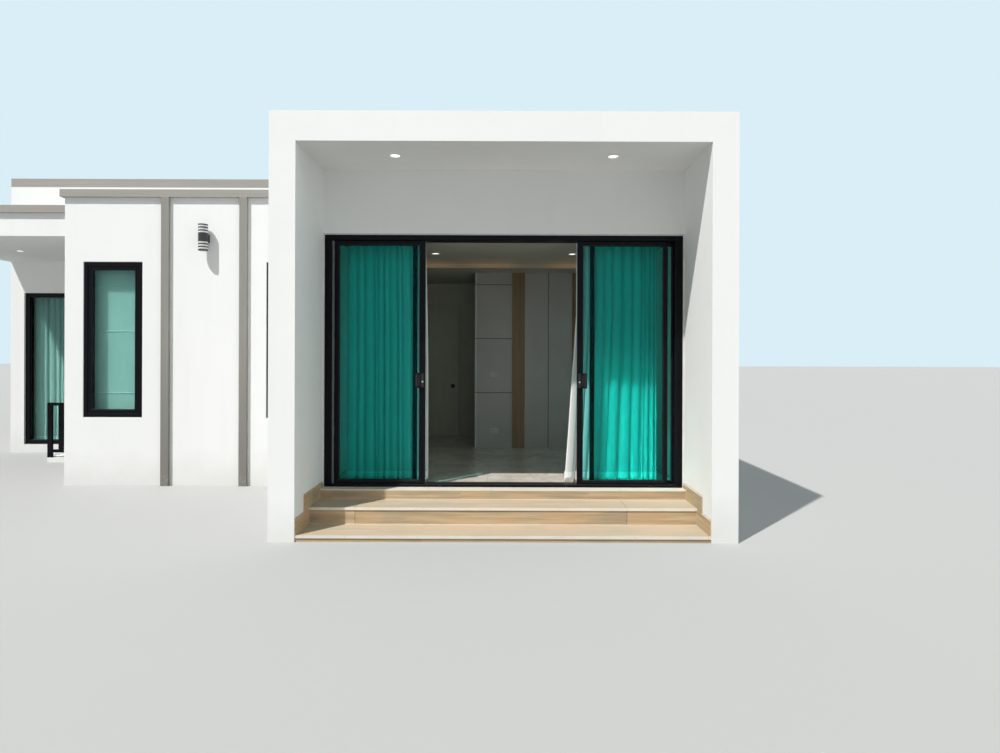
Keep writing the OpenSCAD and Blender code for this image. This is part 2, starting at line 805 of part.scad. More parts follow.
module roof_copings() color(GREY) {
    wing_coping();
    porch_coping();
    main_coping();
}

portal_left_wall();
portal_right_wall();
portal_roof();
door_lintel();
lower_step();
upper_step();
door_step();
step_nosings();
step_skirtings();
floors();
door_frame();
fixed_sashes();
fixed_glass();
left_leaf_frame();
left_leaf_glass();
left_leaf_lock();
right_leaf_frame();
right_leaf_glass();
right_leaf_lock();
curtain_track();
door_curtains();
living_ceiling();
panelled_wall();
timber_strips();
passage_door();
downlights();
wing_front_wall();
wing_left_wall();
wing_roof();
wing_pilasters();
window_frames();
window_panes();
window_blinds();
wall_light();
porch_roof();
porch_glazing_frame();
porch_curtain();
porch_landing();
porch_railing();
main_front_wall();
main_left_wall();
main_back_wall();
main_right_wall();
main_roof();
roof_copings();
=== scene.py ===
import math

import bmesh
import bpy
import numpy as np
from mathutils import Matrix, Vector


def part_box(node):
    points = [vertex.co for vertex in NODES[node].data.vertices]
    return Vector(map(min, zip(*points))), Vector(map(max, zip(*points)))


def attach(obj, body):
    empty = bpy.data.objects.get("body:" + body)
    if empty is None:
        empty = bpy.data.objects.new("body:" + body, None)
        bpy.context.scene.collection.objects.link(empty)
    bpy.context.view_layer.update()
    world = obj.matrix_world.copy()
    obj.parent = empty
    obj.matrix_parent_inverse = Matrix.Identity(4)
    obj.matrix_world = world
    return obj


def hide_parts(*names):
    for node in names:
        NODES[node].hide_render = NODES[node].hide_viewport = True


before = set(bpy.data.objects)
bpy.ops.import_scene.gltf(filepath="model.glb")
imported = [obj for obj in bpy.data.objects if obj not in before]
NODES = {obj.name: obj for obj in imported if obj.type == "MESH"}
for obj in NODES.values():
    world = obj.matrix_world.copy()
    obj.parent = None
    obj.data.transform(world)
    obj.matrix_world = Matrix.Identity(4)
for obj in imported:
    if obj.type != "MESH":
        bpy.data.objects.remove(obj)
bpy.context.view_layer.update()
SCENE = bpy.context.scene

# Camera, fitted to the photograph: its place, focal length in pixels, small roll and shift
IMAGE_WIDTH = 1000
CAMERA_PLACE = (2.9, -9.45, 1.54)
FOCAL_PIXELS = 607
CAMERA_ROLL = math.radians(0.2)
CAMERA_SHIFT = (-0.0035, -0.0205)

# Places of the house in metres, as in the CAD
DOOR_MIDDLE = 2.9
INSIDE_LEFT, INSIDE_RIGHT = 1.18, 4.62
PORTAL_SOFFIT, PORCH_SOFFIT = 3.31, 2.99
Y_DOOR, Y_WING, Y_BACK = -3.67, -2.295, 4.45
X_END = 4.84
LIVING_FLOOR = 0.29
TREADS = (0.052, 0.2)
RISERS_Y = (-4.435, -4.095, -3.782)
SKIRTING_T = 0.01
SKIRTING_TOPS = (0.184, 0.332)
SKIRTING_STEP_Y = -4.219
FRAME_TOP = 2.692
FIXED_PANES = ((1.275, 2.028), (3.772, 4.525))
PANEL_Y = -1.2
PASSAGE_DOOR_FACE = 0.049
KNOB_X, KNOB_Z = 2.11, LIVING_FLOOR + 0.777
BORDER_Z, TRAY_Z, TRAY_END_Y = 2.67, 2.72, -1.65
WINDOW_SIZE = (0.7, 1.84)
WINDOW_SILL = 0.797
WINDOW_BAR, WINDOW_GLASS_EDGE = 0.052, 0.094
WINDOW_FACE, SASH_FACE, WINDOW_GLASS_FACE = 0.005, 0.011, 0.019
PORCH_BAR = 0.062
PANE_T = 0.02
POST_W = 0.066
PLATE_HALF, PLATE_BACK = 0.042, -0.690
BOLT_Y, BOLT_OFF = -0.712, 0.024
# Each window's lower left corner, seen from outside, and its turn in degrees
WINDOWS = [
    (-2.057, Y_WING, 0), (0.101, Y_WING, 0), (X_END, -2.1425, 90), (X_END, 1.9175, 90),
    (-X_END, 2.6175, -90), (3.5767, Y_BACK, 180), (0.35, Y_BACK, 180), (-2.8767, Y_BACK, 180),
]
BLIND_WINDOWS = WINDOWS[:2]
# The rooms, each as its lowest and highest corner
ROOMS = [
    ((1.175, -2.6, 0.28), (4.625, 0.09, 2.75)), ((-2.08, -2.1, 0.28), (0.965, 0.09, 3.15)),
    ((-4.645, 0.28, 0.1), (4.645, 4.26, 3.95)),
]

# Details of this script alone, in metres
FOOT_HEM, SIDE_HEM = 0.105, 0.025
BATTENS = [1.080, 1.819, 2.373]
# The free edges of the door's curtains, upwards, as (height, x)
LEFT_FREE_EDGE = [(1.3, 2.155), (1.8, 2.149), (2.67, 2.129)]
RIGHT_FREE_EDGE = [
    (0.302, 3.509), (0.797, 3.544), (1.443, 3.584), (1.52, 3.592), (1.798, 3.608), (1.95, 3.618),
]
CURTAIN_LEFT_GAP, CURTAIN_RIGHT_GAP, SHEER_GAP, BLIND_GAP = 0.002, 0.035, 0.006, 0.009
TILE_JOINT_X = 3.994
SLAB = 0.8
SLAB_JOINT_X, SLAB_JOINT_Y = 1.94, -3.55
# Places of three hidden cove lamps, whose light is painted on the ceiling as a glow
COVE_GLOW_X = (1.99, 2.72, 3.73)
DRAINS_X, DRAIN_Z = (1.5, 2.3, 3.5, 4.3), 0.302
BRUSH_Z, BRUSH_ROOT_X, BRUSH_TIP_X, BRUSH_FRONT_Y = (0.322, 2.632), 1.2668, 1.2865, -3.6665
LOCK_TURN_Z = 1.292
PLATE_LEFT, PLATE_RIGHT, PLATE_H = 2.712, 2.830, 0.072
SWITCH_Z, SWITCH_X, SWITCH_PITCH = 1.282, 2.738, 0.033
SOCKET_Z, SOCKETS_X = 0.525, (2.744, 2.798)
# The wall light's lamp sleeves, as heights over its foot
SLEEVES = (
    (0.0142, 0.0338), (0.0482, 0.0678), (0.0822, 0.1008),
    (0.2052, 0.2238), (0.2382, 0.2578), (0.2722, 0.2918),
)
DOWNLIGHTS = [
    (DOOR_MIDDLE - 0.967, -4.07, PORTAL_SOFFIT), (DOOR_MIDDLE + 0.967, -4.07, PORTAL_SOFFIT),
    (DOOR_MIDDLE - 0.79, -2.43, TRAY_Z), (DOOR_MIDDLE + 0.79, -2.43, TRAY_Z), (-3.895, -0.92, PORCH_SOFFIT),
]


# Node trees

class Output:
    """A node's first output, or one picked by name or number. Sums and comparisons on it add Math nodes."""

    def __init__(self, node, key=0):
        self.node = node
        self.tree = node.id_data
        self.socket = node.outputs[key]

    def __getitem__(self, key):
        return Output(self.node, key)

    def __add__(self, other):
        return calc("ADD", self, other)

    def __sub__(self, other):
        return calc("SUBTRACT", self, other)

    def __mul__(self, other):
        return calc("MULTIPLY", self, other)

    def __truediv__(self, other):
        return calc("DIVIDE", self, other)

    def __lt__(self, other):
        return calc("LESS_THAN", self, other)

    def __gt__(self, other):
        return calc("GREATER_THAN", self, other)

    def __abs__(self):
        return calc("ABSOLUTE", self)


def feed(node, inputs):
    """Gives a node its inputs. Each is another node's output to link, or a plain value."""
    for name, value in inputs.items():
        if isinstance(value, Output):
            node.id_data.links.new(value.socket, node.inputs[name])
        else:
            node.inputs[name].default_value = value


def add(tree, kind, inputs=None, **settings):
    """A new node of a tree, with its settings and its inputs: its output."""
    node = tree.nodes.new(kind)
    for name, value in settings.items():
        setattr(node, name, value)
    feed(node, inputs or {})
    return Output(node)


def calc(operation, a, b=0.0, kind="ShaderNodeMath"):
    """The result of one Math node. One of its inputs or both are other nodes' outputs."""
    tree = (a if isinstance(a, Output) else b).tree
    return add(tree, kind, {0: a, 1: b}, operation=operation)


def calc_vector(operation, a, b=(0.0, 0.0, 0.0)):
    return calc(operation, a, b, "ShaderNodeVectorMath")


def span(value, low, high, to_low=0.0, to_high=1.0):
    """A value taken from one range to another, and held inside it."""
    return add(value.tree, "ShaderNodeMapRange", {
        "Value": value, "From Min": low, "From Max": high, "To Min": to_low, "To Max": to_high,
    })


def blended(factor, a, b):
    """One colour mixed into another."""
    a, b = (colour if isinstance(colour, Output) else (*colour, 1) for colour in (a, b))
    return add(factor.tree, "ShaderNodeMix", {0: factor, 6: a, 7: b}, data_type="RGBA")[2]


def layered(tint, *layers):
    """A colour with others laid over it, each through its mask."""
    for mask, colour in layers:
        tint = blended(mask, tint, colour)
    return tint


def mixed(factor, a, b):
    """A mix of two shaders."""
    return add(a.tree, "ShaderNodeMixShader", {0: factor, 1: a, 2: b})


def toned(colour, strength):
    """A colour made darker or paler, but never quite white."""
    return [min(0.97, strength * part) for part in colour]


def split(vector):
    """The x, y and z of a vector."""
    parts = add(vector.tree, "ShaderNodeSeparateXYZ", {0: vector})
    return [parts[i] for i in range(3)]


def place(tree):
    """Object coordinates: the vector, then x, y and z."""
    vector = add(tree, "ShaderNodeTexCoord")["Object"]
    return vector, *split(vector)


def cloudy(vector, scale, detail=3.0, roughness=0.5, distortion=0.0):
    """A noise from 0 to 1. Its scale is one number, or one for each axis."""
    if isinstance(scale, tuple):
        vector, scale = calc_vector("MULTIPLY", vector, scale), 1.0
    return add(vector.tree, "ShaderNodeTexNoise", {
        "Vector": vector, "Scale": scale, "Detail": detail, "Roughness": roughness, "Distortion": distortion,
    })


def off_whole(value):
    """How far a value is from the nearest whole number."""
    return abs(value - calc("ROUND", value))


def near_line(value, pitch, start, width):
    """1 on evenly spaced lines across one coordinate, and 0 between them."""
    return off_whole((value - start) / pitch) < width / pitch / 2


def new_group(name, *inputs, kind="ShaderNodeTree"):
    """A node group with inputs of (name, kind): its tree, and the inputs as seen inside it."""
    tree = bpy.data.node_groups.new(name, kind)
    for socket, value_kind in inputs:
        tree.interface.new_socket(socket, in_out="INPUT", socket_type=f"NodeSocket{value_kind}")
    return tree, Output(tree.nodes.new("NodeGroupInput"))


def give(tree, results, kind="Float"):
    """Ends a group, with its results as its outputs."""
    for name in results:
        tree.interface.new_socket(name, in_out="OUTPUT", socket_type=f"NodeSocket{kind}")
    feed(tree.nodes.new("NodeGroupOutput"), results)
    return tree


def spaced(values):
    """Values by keyword, as values by an input's name."""
    return {key.replace("_", " "): value for key, value in values.items()}


class Finish:
    """A material with one Principled shader, while it is made."""

    def __init__(self, name, **plain):
        self.material = bpy.data.materials.new(name)
        self.material.use_nodes = True
        self.tree = self.material.node_tree
        self.tree.nodes.clear()
        self.surface = self.tree.nodes.new("ShaderNodeOutputMaterial")
        self.shader = self.add("ShaderNodeBsdfPrincipled", **plain)
        self.show(self.shader)

    def add(self, kind, **inputs):
        return add(self.tree, kind, spaced(inputs))

    def use(self, group, **inputs):
        """A group placed in the material: its outputs."""
        return add(self.tree, "ShaderNodeGroup", spaced(inputs), node_tree=group)

    def show(self, shader):
        feed(self.surface, {0: shader})

    def glow(self, colour, strength):
        feed(self.shader.node, {"Emission Color": colour, "Emission Strength": strength})

    def done(self, colour, roughness, relief, strength, depth):
        """Gives the shader its colour and roughness, where they vary, and its relief: the material."""
        bump = self.add("ShaderNodeBump", Height=relief, Strength=strength, Distance=depth)
        varied = {"Base Color": colour, "Roughness": roughness, "Normal": bump}
        feed(self.shader.node, {name: value for name, value in varied.items() if value is not None})
        return self.material


# Effects that several finishes share

def make_weather():
    """Outdoor wear: large blotches, rain streaks, splashed dirt near the ground, dust on level faces, which
    on the step tiles is also a painted sheen.
    """
    tree, _ = new_group("weather")
    vector, _, _, z = place(tree)
    height = z + (cloudy(vector, 3.2, 4.0) - 0.5) * 0.5
    normal = add(tree, "ShaderNodeNewGeometry")["Normal"]
    return give(tree, {
        "Blotch": cloudy(vector, 0.7, 4.0, 0.55),
        "Streak": cloudy(vector, (6.5, 6.5, 0.4), 5.0, 0.6),
        "Along": cloudy(vector, (0.9, 0.9, 34.0), 5.0, 0.6),
        "Splash": span(height, 0.42, -0.05),
        "Level": span(split(normal)[2], 0.6, 0.95),
        "Grain": cloudy(vector, 150.0, 2.0),
        "Trowel": cloudy(vector, 4.5, 3.0, 0.5, 0.4),
    })


def make_indoors():
    """1 on the faces of the rooms, and 0 outside the house."""
    tree, _ = new_group("indoors")
    vector = place(tree)[0]
    inside = 0.0
    for low, high in ROOMS:
        middle = [(a + b) / 2 for a, b in zip(low, high)]
        half = [(b - a) / 2 for a, b in zip(low, high)]
        off = calc_vector("ABSOLUTE", calc_vector("SUBTRACT", vector, middle))
        x, y, z = split(calc_vector("SUBTRACT", off, half))
        furthest = calc("MAXIMUM", calc("MAXIMUM", x, y), z)
        inside = calc("MAXIMUM", inside, furthest < 0.0)
    return give(tree, {"Inside": inside})


def make_plank_grain():
    """Timber grain along the vector's x, with patches of tone and the joints between boards."""
    inputs = (("Vector", "Vector"), ("Board", "Float"), ("Start", "Float"), ("Joint width", "Float"))
    tree, source = new_group("plank_grain", *inputs)
    vector, board = source["Vector"], source["Board"]
    steps = (split(vector)[0] - source["Start"]) / board
    tone = add(tree, "ShaderNodeTexWhiteNoise", {"W": calc("FLOOR", steps)}, noise_dimensions="1D")
    moved = calc_vector("ADD", vector, tone)
    return give(tree, {
        "Grain": cloudy(moved, (1.3, 26.0, 38.0), 5.0, 0.6, 0.35),
        "Fibre": cloudy(moved, (5.0, 150.0, 190.0), 3.0, 0.6),
        "Tone": tone,
        "Patch": cloudy(moved, (2.6, 3.0, 3.0), 1.0),
        "Joint": off_whole(steps) * board < source["Joint width"],
    })


def make_weave():
    """Sheer cloth on its own UV map, in metres: threads, thicker yarns that run down, turned hems."""
    tree, source = new_group("weave", *((name, "Float") for name in ("Thread", "Foot hem", "Side hem")))
    uv = add(tree, "ShaderNodeUVMap", uv_map="cloth")
    across, up, _ = split(uv)
    turns = calc("DIVIDE", math.tau, source["Thread"])
    past_foot, past_side = up - source["Foot hem"], across - source["Side hem"]
    nearest = calc("MINIMUM", abs(past_foot), abs(past_side))
    return give(tree, {
        "Height": calc("SINE", across * turns) * calc("SINE", up * turns),
        "Yarn": cloudy(uv, (190.0, 2.5, 1.0), 4.0, 0.6),
        "Hem": calc("MINIMUM", past_foot, past_side) < 0.0,
        "Stitch": (nearest < 0.0018) * (calc("SINE", (across + up) * 900.0) > -0.3),
    })


WEATHER = make_weather()
INDOORS = make_indoors()
PLANK_GRAIN = make_plank_grain()
WEAVE = make_weave()


# Finishes

def wall_paint(name, colour, shade, dirt, level):
    """Painted render: trowel marks, faint rain streaks, splashed dirt at the foot, dust on level faces.
    In the rooms the paint is darker and warmer than the real white render: painted shade of the dim rooms."""
    finish = Finish(name, Specular_IOR_Level=0.3)
    weather = finish.use(WEATHER)
    blotch = weather["Blotch"]
    # Painted shade: the rooms' walls darker and warmer than the real white, as the dim rooms look
    room_painted_shade = blended(span(blotch, 0.3, 0.7), (0.60, 0.56, 0.475), (0.55, 0.51, 0.425))
    tint = layered(
        colour,
        (span(blotch, 0.42, 0.72), shade),
        (span(weather["Streak"], 0.52, 0.85) * (0.12 * dirt), toned(shade, 0.8)),
        (weather["Splash"] * (0.3 * dirt), (0.54, 0.52, 0.47)),
        (weather["Level"] * span(blotch, 0.2, 0.8, 1.0, 0.8), level),
        (finish.use(INDOORS), room_painted_shade),
    )
    relief = weather["Grain"] * 0.12 + weather["Trowel"]
    return finish.done(tint, span(blotch, 0.3, 0.7, 0.62, 0.78), relief, 0.16, 0.006)


def band_paint(name, marks, colour, shade, foot, foot_top):
    """Satin warm grey paint, with brush marks one way, and darker and mottled towards its foot."""
    finish = Finish(name, Specular_IOR_Level=0.35)
    weather = finish.use(WEATHER)
    vector, _, _, z = place(finish.tree)
    mottle = span(cloudy(vector, 38.0), 0.5, 0.62)
    tint = layered(
        colour,
        (span(weather[marks], 0.3, 0.72), shade),
        (span(z, foot_top, 0.1), foot),
        (mottle * span(z, 0.16, 0.05) * 0.5, (0.40, 0.38, 0.31)),
        (weather["Level"] * 0.6, (0.37, 0.36, 0.335)),
    )
    roughness = span(weather[marks], 0.3, 0.7, 0.36, 0.54)
    return finish.done(tint, roughness, weather["Grain"] + weather[marks], 0.12, 0.002)


def make_roof_screed():
    """Grey roof screed in laid strips, with dark rings where rain has stood."""
    finish = Finish("roof_screed", Specular_IOR_Level=0.25)
    weather = finish.use(WEATHER)
    vector, x, _, _ = place(finish.tree)
    lap = near_line(x, 1.0, 0.1, 0.012)
    ponds = cloudy(vector, 0.9, 5.0, 0.6, 0.8)
    tint = layered(
        (0.40, 0.40, 0.385),
        (span(weather["Blotch"], 0.35, 0.65), (0.29, 0.29, 0.28)),
        (span(abs(ponds - 0.56), 0.0, 0.02, 0.5, 0.0), (0.20, 0.20, 0.19)),
        (lap, (0.16, 0.16, 0.155)),
    )
    return finish.done(tint, span(ponds, 0.4, 0.7, 0.92, 0.7), weather["Grain"] * 0.5 - lap, 0.4, 0.004)


def plank_tile(name, board, start, joint_width, joint_depth, turn=False):
    """Matt plank tile with a timber print along x, or along y for the side skirtings."""
    finish = Finish(name, Specular_IOR_Level=0.4)
    vector, x, y, z = place(finish.tree)
    if turn:
        vector = finish.add("ShaderNodeCombineXYZ", X=y, Y=x, Z=z)
    grain = finish.use(PLANK_GRAIN, Vector=vector, Board=board, Start=start, Joint_width=joint_width)
    tint = layered(
        (0.36, 0.265, 0.16),
        (span(grain["Grain"], 0.34, 0.66), (0.60, 0.46, 0.295)),
        (span(grain["Patch"], 0.47, 0.6, 0.0, 0.55), (0.55, 0.365, 0.215)),
        (span(grain["Patch"], 0.45, 0.34, 0.0, 0.45), (0.36, 0.30, 0.215)),
        (span(grain["Fibre"], 0.45, 0.8, 0.0, 0.4), (0.30, 0.205, 0.12)),
        (grain["Tone"] * 0.2, (0.50, 0.33, 0.19)),
        # Dust, and a painted sheen: level faces greyer and paler, as the treads look where they catch the
        # sky
        (finish.use(WEATHER)["Level"] * 0.45, (0.49, 0.455, 0.38)),
        (grain["Joint"] * joint_depth, (0.10, 0.07, 0.045)),
    )
    relief = grain["Fibre"] * 0.25 - grain["Joint"] * joint_depth
    return finish.done(tint, span(grain["Grain"], 0.3, 0.7, 0.42, 0.55), relief, 0.3, 0.002)


def make_cream_tile():
    """Smooth cream edge tile, in lengths with thin joints, a little grey where people step."""
    finish = Finish("cream_tile", Roughness=0.3, Coat_Weight=0.15, Coat_Roughness=0.15)
    vector, x, _, _ = place(finish.tree)
    joint = near_line(x, 0.6, TILE_JOINT_X, 0.003)
    worn = cloudy(vector, 5.0, 4.0, 0.6)
    tint = layered(
        (0.80, 0.755, 0.665),
        (span(worn, 0.4, 0.75, 0.0, 0.6), (0.66, 0.62, 0.54)),
        (joint * 0.4, (0.30, 0.27, 0.22)),
    )
    return finish.done(tint, None, worn * 0.2 - joint, 0.25, 0.002)


def make_polished_stone():
    """Polished pale marble floor in square slabs, with cloudy patches and thin veins."""
    finish = Finish("polished_stone", Specular_IOR_Level=0.6)
    vector, x, y, _ = place(finish.tree)
    joints = (near_line(x, SLAB, SLAB_JOINT_X, 0.0025), near_line(y, SLAB, SLAB_JOINT_Y, 0.0025))
    joint = calc("MAXIMUM", *joints)
    patches = cloudy(vector, 1.7, 5.0, 0.62, 1.2)
    tint = blended(span(patches, 0.32, 0.68), (0.54, 0.49, 0.42), (0.76, 0.70, 0.61))
    for scale, strength, colour in ((1.1, 0.35, (0.30, 0.285, 0.235)), (2.3, 0.45, (0.82, 0.80, 0.73))):
        off = abs(cloudy(vector, scale, 6.0, 0.55, 1.6) - 0.5)
        tint = blended(span(off, 0.0, 0.022, strength, 0.0), tint, colour)
    tint = blended(joint * 0.6, tint, (0.17, 0.165, 0.145))
    return finish.done(tint, span(patches, 0.3, 0.7, 0.05, 0.12), patches * 0.05 - joint, 0.2, 0.001)


def metal_coating(name, colour, gloss):
    """Satin powder coating on aluminium, with a fine orange peel and dust on level faces."""
    finish = Finish(name, Specular_IOR_Level=gloss)
    weather = finish.use(WEATHER)
    vector = place(finish.tree)[0]
    tint = layered(
        colour,
        (span(weather["Blotch"], 0.3, 0.7), toned(colour, 1.35)),
        (weather["Level"] * 0.3, (0.10, 0.095, 0.085)),
    )
    roughness = span(cloudy(vector, 2.4, 4.0, 0.6), 0.3, 0.7, 0.30, 0.46)
    return finish.done(tint, roughness, cloudy(vector, 700.0, 1.0), 0.08, 0.0004)


def glass(name, tint, ior):
    """Tinted clear glass with faint smears. Lamps shine through it: each face tints their light."""
    finish = Finish(name, IOR=ior, Transmission_Weight=1.0, Base_Color=(*tint, 1))
    vector = place(finish.tree)[0]
    upright = calc_vector("MULTIPLY", vector, (1.5, 1.5, 0.7))
    smear = span(cloudy(upright, 1.6, 5.0, 0.65, 0.5), 0.5, 0.85, 0.0, 0.02)
    clear = finish.add("ShaderNodeBsdfTransparent", Color=(*(math.sqrt(part) for part in tint), 1))
    finish.show(mixed(finish.add("ShaderNodeLightPath")["Is Shadow Ray"], finish.shader, clear))
    return finish.done(None, smear, cloudy(vector, 1.3, 1.0), 0.02, 0.002)


def cloth(name, colour, see_through, foot_hem, side_hem):
    """Thin white cloth that lets some light through, closer at its hems."""
    finish = Finish(name, Roughness=0.85, Specular_IOR_Level=0.1)
    weave = finish.use(WEAVE, Thread=0.0016, Foot_hem=foot_hem, Side_hem=side_hem)
    tint = layered(
        colour,
        (span(weave["Yarn"], 0.35, 0.7), toned(colour, 0.88)),
        (weave["Hem"], toned(colour, 1.13)),
        (weave["Stitch"] * 0.35, toned(colour, 0.6)),
    )
    glow = finish.add("ShaderNodeBsdfTranslucent", Color=tint)
    hole = finish.add("ShaderNodeBsdfTransparent", Color=(1, 1, 1, 1))
    closed = span(weave["Yarn"], 0.3, 0.7, 1 - 1.4 * see_through, 1 - 0.6 * see_through)
    closed = calc("MAXIMUM", closed, weave["Hem"])
    finish.show(mixed(closed, hole, mixed(0.18, finish.shader, glow)))
    return finish.done(tint, None, weave["Height"], 0.15, 0.0004)


def make_board_paint():
    """Satin board paint indoors, darker and warmer than the real white board: painted shade of the dim room.
    The grooves are painted nearly black inside as painted shade, and the edge by the passage is paler.
    """
    finish = Finish("board_paint", Roughness=0.36, Specular_IOR_Level=0.4)
    vector, x, y, _ = place(finish.tree)
    left, front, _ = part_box("panelled_wall")[0]
    # Painted shade: the board's colour darker and warmer than the real white, as the dim room looks
    tint = layered(
        (0.53, 0.462, 0.445),
        (span(cloudy(vector, 2.0), 0.3, 0.7), (0.48, 0.418, 0.40)),
        (x < left + 0.02, (0.72, 0.70, 0.66)),
        # Painted shade: the insides of the grooves nearly black
        ((y > front + 0.0003) * (y < front + 0.0085), (0.012, 0.0115, 0.010)),
    )
    return finish.done(tint, None, cloudy(vector, 220.0, 2.0), 0.06, 0.0006)


def make_door_paint():
    """The plain passage door: satin paint, and a dark bronze knob in front of it."""
    finish = Finish("door_paint", Specular_IOR_Level=0.4)
    vector, _, y, _ = place(finish.tree)
    knob = y < PASSAGE_DOOR_FACE - 0.0005
    brushed = cloudy(vector, (40.0, 40.0, 1.5))
    tint = layered(
        (0.55, 0.53, 0.42),
        (span(brushed, 0.3, 0.7), (0.50, 0.48, 0.38)),
        (knob, (0.02, 0.016, 0.012)),
    )
    return finish.done(tint, span(knob, 0.0, 1.0, 0.42, 0.25), brushed, 0.05, 0.0008)


def make_timber():
    """Brown oak strips with an upright grain and a matt lacquer."""
    finish = Finish("oak_strip", Specular_IOR_Level=0.35, Coat_Weight=0.1)
    _, x, y, z = place(finish.tree)
    upright = finish.add("ShaderNodeCombineXYZ", X=z, Y=x, Z=y)
    grain = finish.use(PLANK_GRAIN, Vector=upright, Board=9.0, Start=-3.0, Joint_width=0.0)
    tint = layered(
        (0.21, 0.12, 0.059),
        (span(grain["Grain"], 0.3, 0.7), (0.35, 0.21, 0.115)),
        (span(grain["Fibre"], 0.5, 0.8, 0.0, 0.5), (0.17, 0.095, 0.045)),
    )
    roughness = span(grain["Grain"], 0.3, 0.7, 0.4, 0.52)
    return finish.done(tint, roughness, grain["Grain"] + grain["Fibre"], 0.15, 0.001)


def make_ceiling_paint():
    """Matt ceiling paint, darker and warmer than the real white ceiling: painted shade of the dim room. A
    painted warm glow stands in for the light of three hidden cove lamps on the end of the raised middle.
    """
    finish = Finish("ceiling_paint", Roughness=0.85, Specular_IOR_Level=0.2)
    vector, x, y, z = place(finish.tree)
    # Painted light: where the painted cove glow is strongest, round each hidden lamp's place
    spots = 0.0
    for glow_x in COVE_GLOW_X:
        spots = calc("MAXIMUM", spots, span(abs(x - glow_x), 0.08, 0.42, 1.0, 0.0))
    raised, before_lip = z > BORDER_Z + 0.002, y < TRAY_END_Y + 0.005
    fall = calc("POWER", span(y, TRAY_END_Y - 0.6, TRAY_END_Y - 0.02), 1.6)
    lit = raised * fall * before_lip * span(spots, 0.0, 1.0, 0.3, 1.0)
    # Painted light: the ceiling itself glows warm near the cove, as if lit by hidden lamps that are not
    # there
    finish.glow(blended(lit, (0.0, 0.0, 0.0), (0.071, 0.035, 0.007)), 1.0)
    # Painted shade: the ceiling paint darker and warmer than the real white, as the dim room looks
    tint = blended(span(cloudy(vector, 1.5), 0.3, 0.7), (0.53, 0.487, 0.445), (0.485, 0.448, 0.405))
    return finish.done(tint, None, cloudy(vector, 160.0, 2.0), 0.06, 0.001)


def moulded(name, colour, roughness, grain=300.0, metallic=0.0):
    """Moulded plastic, rubber, mortar or cast metal: a fine grain and slightly uneven gloss."""
    finish = Finish(name, Metallic=metallic, Specular_IOR_Level=0.4)
    vector = place(finish.tree)[0]
    cloud = span(cloudy(vector, 14.0), 0.3, 0.7)
    tint = blended(cloud, colour, toned(colour, 0.85))
    uneven = span(cloud, 0.0, 1.0, roughness, roughness + 0.1)
    return finish.done(tint, uneven, cloudy(vector, grain, 2.0), 0.08, 0.0004)


def lamp(name, colour, strength):
    """A lit lens with a frosted face."""
    finish = Finish(name, Roughness=0.4, Base_Color=(0.9, 0.9, 0.88, 1))
    frost = cloudy(place(finish.tree)[0], 120.0, 2.0)
    finish.glow(blended(span(frost, 0.3, 0.7), colour, toned(colour, 0.93)), strength)
    return finish.done(None, None, frost, 0.1, 0.0005)


black_coating = metal_coating("black_coating", (0.0036, 0.0036, 0.0054), 0.10)
door_glass = glass("door_glass", (0.29, 0.85, 0.81), 1.13)
sheer_cloth = cloth("sheer_cloth", (0.86, 0.86, 0.85), 0.12, FOOT_HEM, SIDE_HEM)
blind_cloth = cloth("blind_cloth", (0.88, 0.88, 0.86), 0.05, 0.03, 0.012)
white_moulded = moulded("white_moulded", (0.85, 0.85, 0.83), 0.35)
ivory_plate = moulded("ivory_plate", (0.62, 0.61, 0.53), 0.3)
black_rubber = moulded("black_rubber", (0.010, 0.010, 0.010), 0.55)
white_sealant = moulded("white_sealant", (0.70, 0.70, 0.68), 0.45, 90.0)
pale_grout = moulded("pale_grout", (0.56, 0.475, 0.36), 0.8, 120.0)
grey_pile = moulded("grey_pile", (0.12, 0.145, 0.145), 0.9, 600.0)
steel = moulded("steel", (0.62, 0.62, 0.61), 0.25, 500.0, 1.0)
opal_lamp = moulded("opal_lamp", (0.86, 0.86, 0.85), 0.3)
lit_lens = lamp("lit_lens", (1.0, 0.97, 0.90), 2.0)


def cover(finish, *names):
    """Gives the CAD's pieces their finish."""
    for name in names:
        NODES[name].data.materials.clear()
        NODES[name].data.materials.append(finish)


cover(
    wall_paint("white_render", (0.925, 0.925, 0.915), (0.90, 0.905, 0.90), 1.0, (0.47, 0.46, 0.43)),
    "portal_left_wall", "portal_right_wall", "portal_roof", "door_lintel", "porch_roof",
    "wing_front_wall", "wing_left_wall",
    "main_front_wall", "main_left_wall", "main_back_wall", "main_right_wall",
)
cover(
    wall_paint("white_landing", (0.93, 0.93, 0.91), (0.88, 0.88, 0.86), 0.7, (0.88, 0.87, 0.84)),
    "porch_landing",
)
cover(
    band_paint(
        "coping_paint", "Along", (0.40, 0.378, 0.345), (0.335, 0.318, 0.29), (0.28, 0.265, 0.24), 0.2,
    ),
    "roof_copings",
)
cover(
    band_paint(
        "strip_paint", "Streak", (0.322, 0.308, 0.28), (0.266, 0.256, 0.234), (0.215, 0.206, 0.188), 1.9,
    ),
    "wing_pilasters",
)
cover(make_roof_screed(), "wing_roof", "main_roof")
cover(plank_tile("lower_plank_tile", 1.2, 3.42, 0.0010, 0.2), "lower_step")
cover(plank_tile("upper_plank_tile", 2.4, TILE_JOINT_X, 0.0022, 0.8), "upper_step")
cover(plank_tile("ledge_plank_tile", 1.2, 3.70, 0.0010, 0.2), "door_step")
cover(plank_tile("skirting_plank_tile", 0.6, -4.0, 0.0010, 0.2, turn=True), "step_skirtings")
cover(make_cream_tile(), "step_nosings")
cover(make_polished_stone(), "floors")
cover(
    black_coating,
    "door_frame", "fixed_sashes", "left_leaf_frame", "right_leaf_frame", "left_leaf_lock",
    "right_leaf_lock", "window_frames", "porch_glazing_frame", "porch_railing",
)
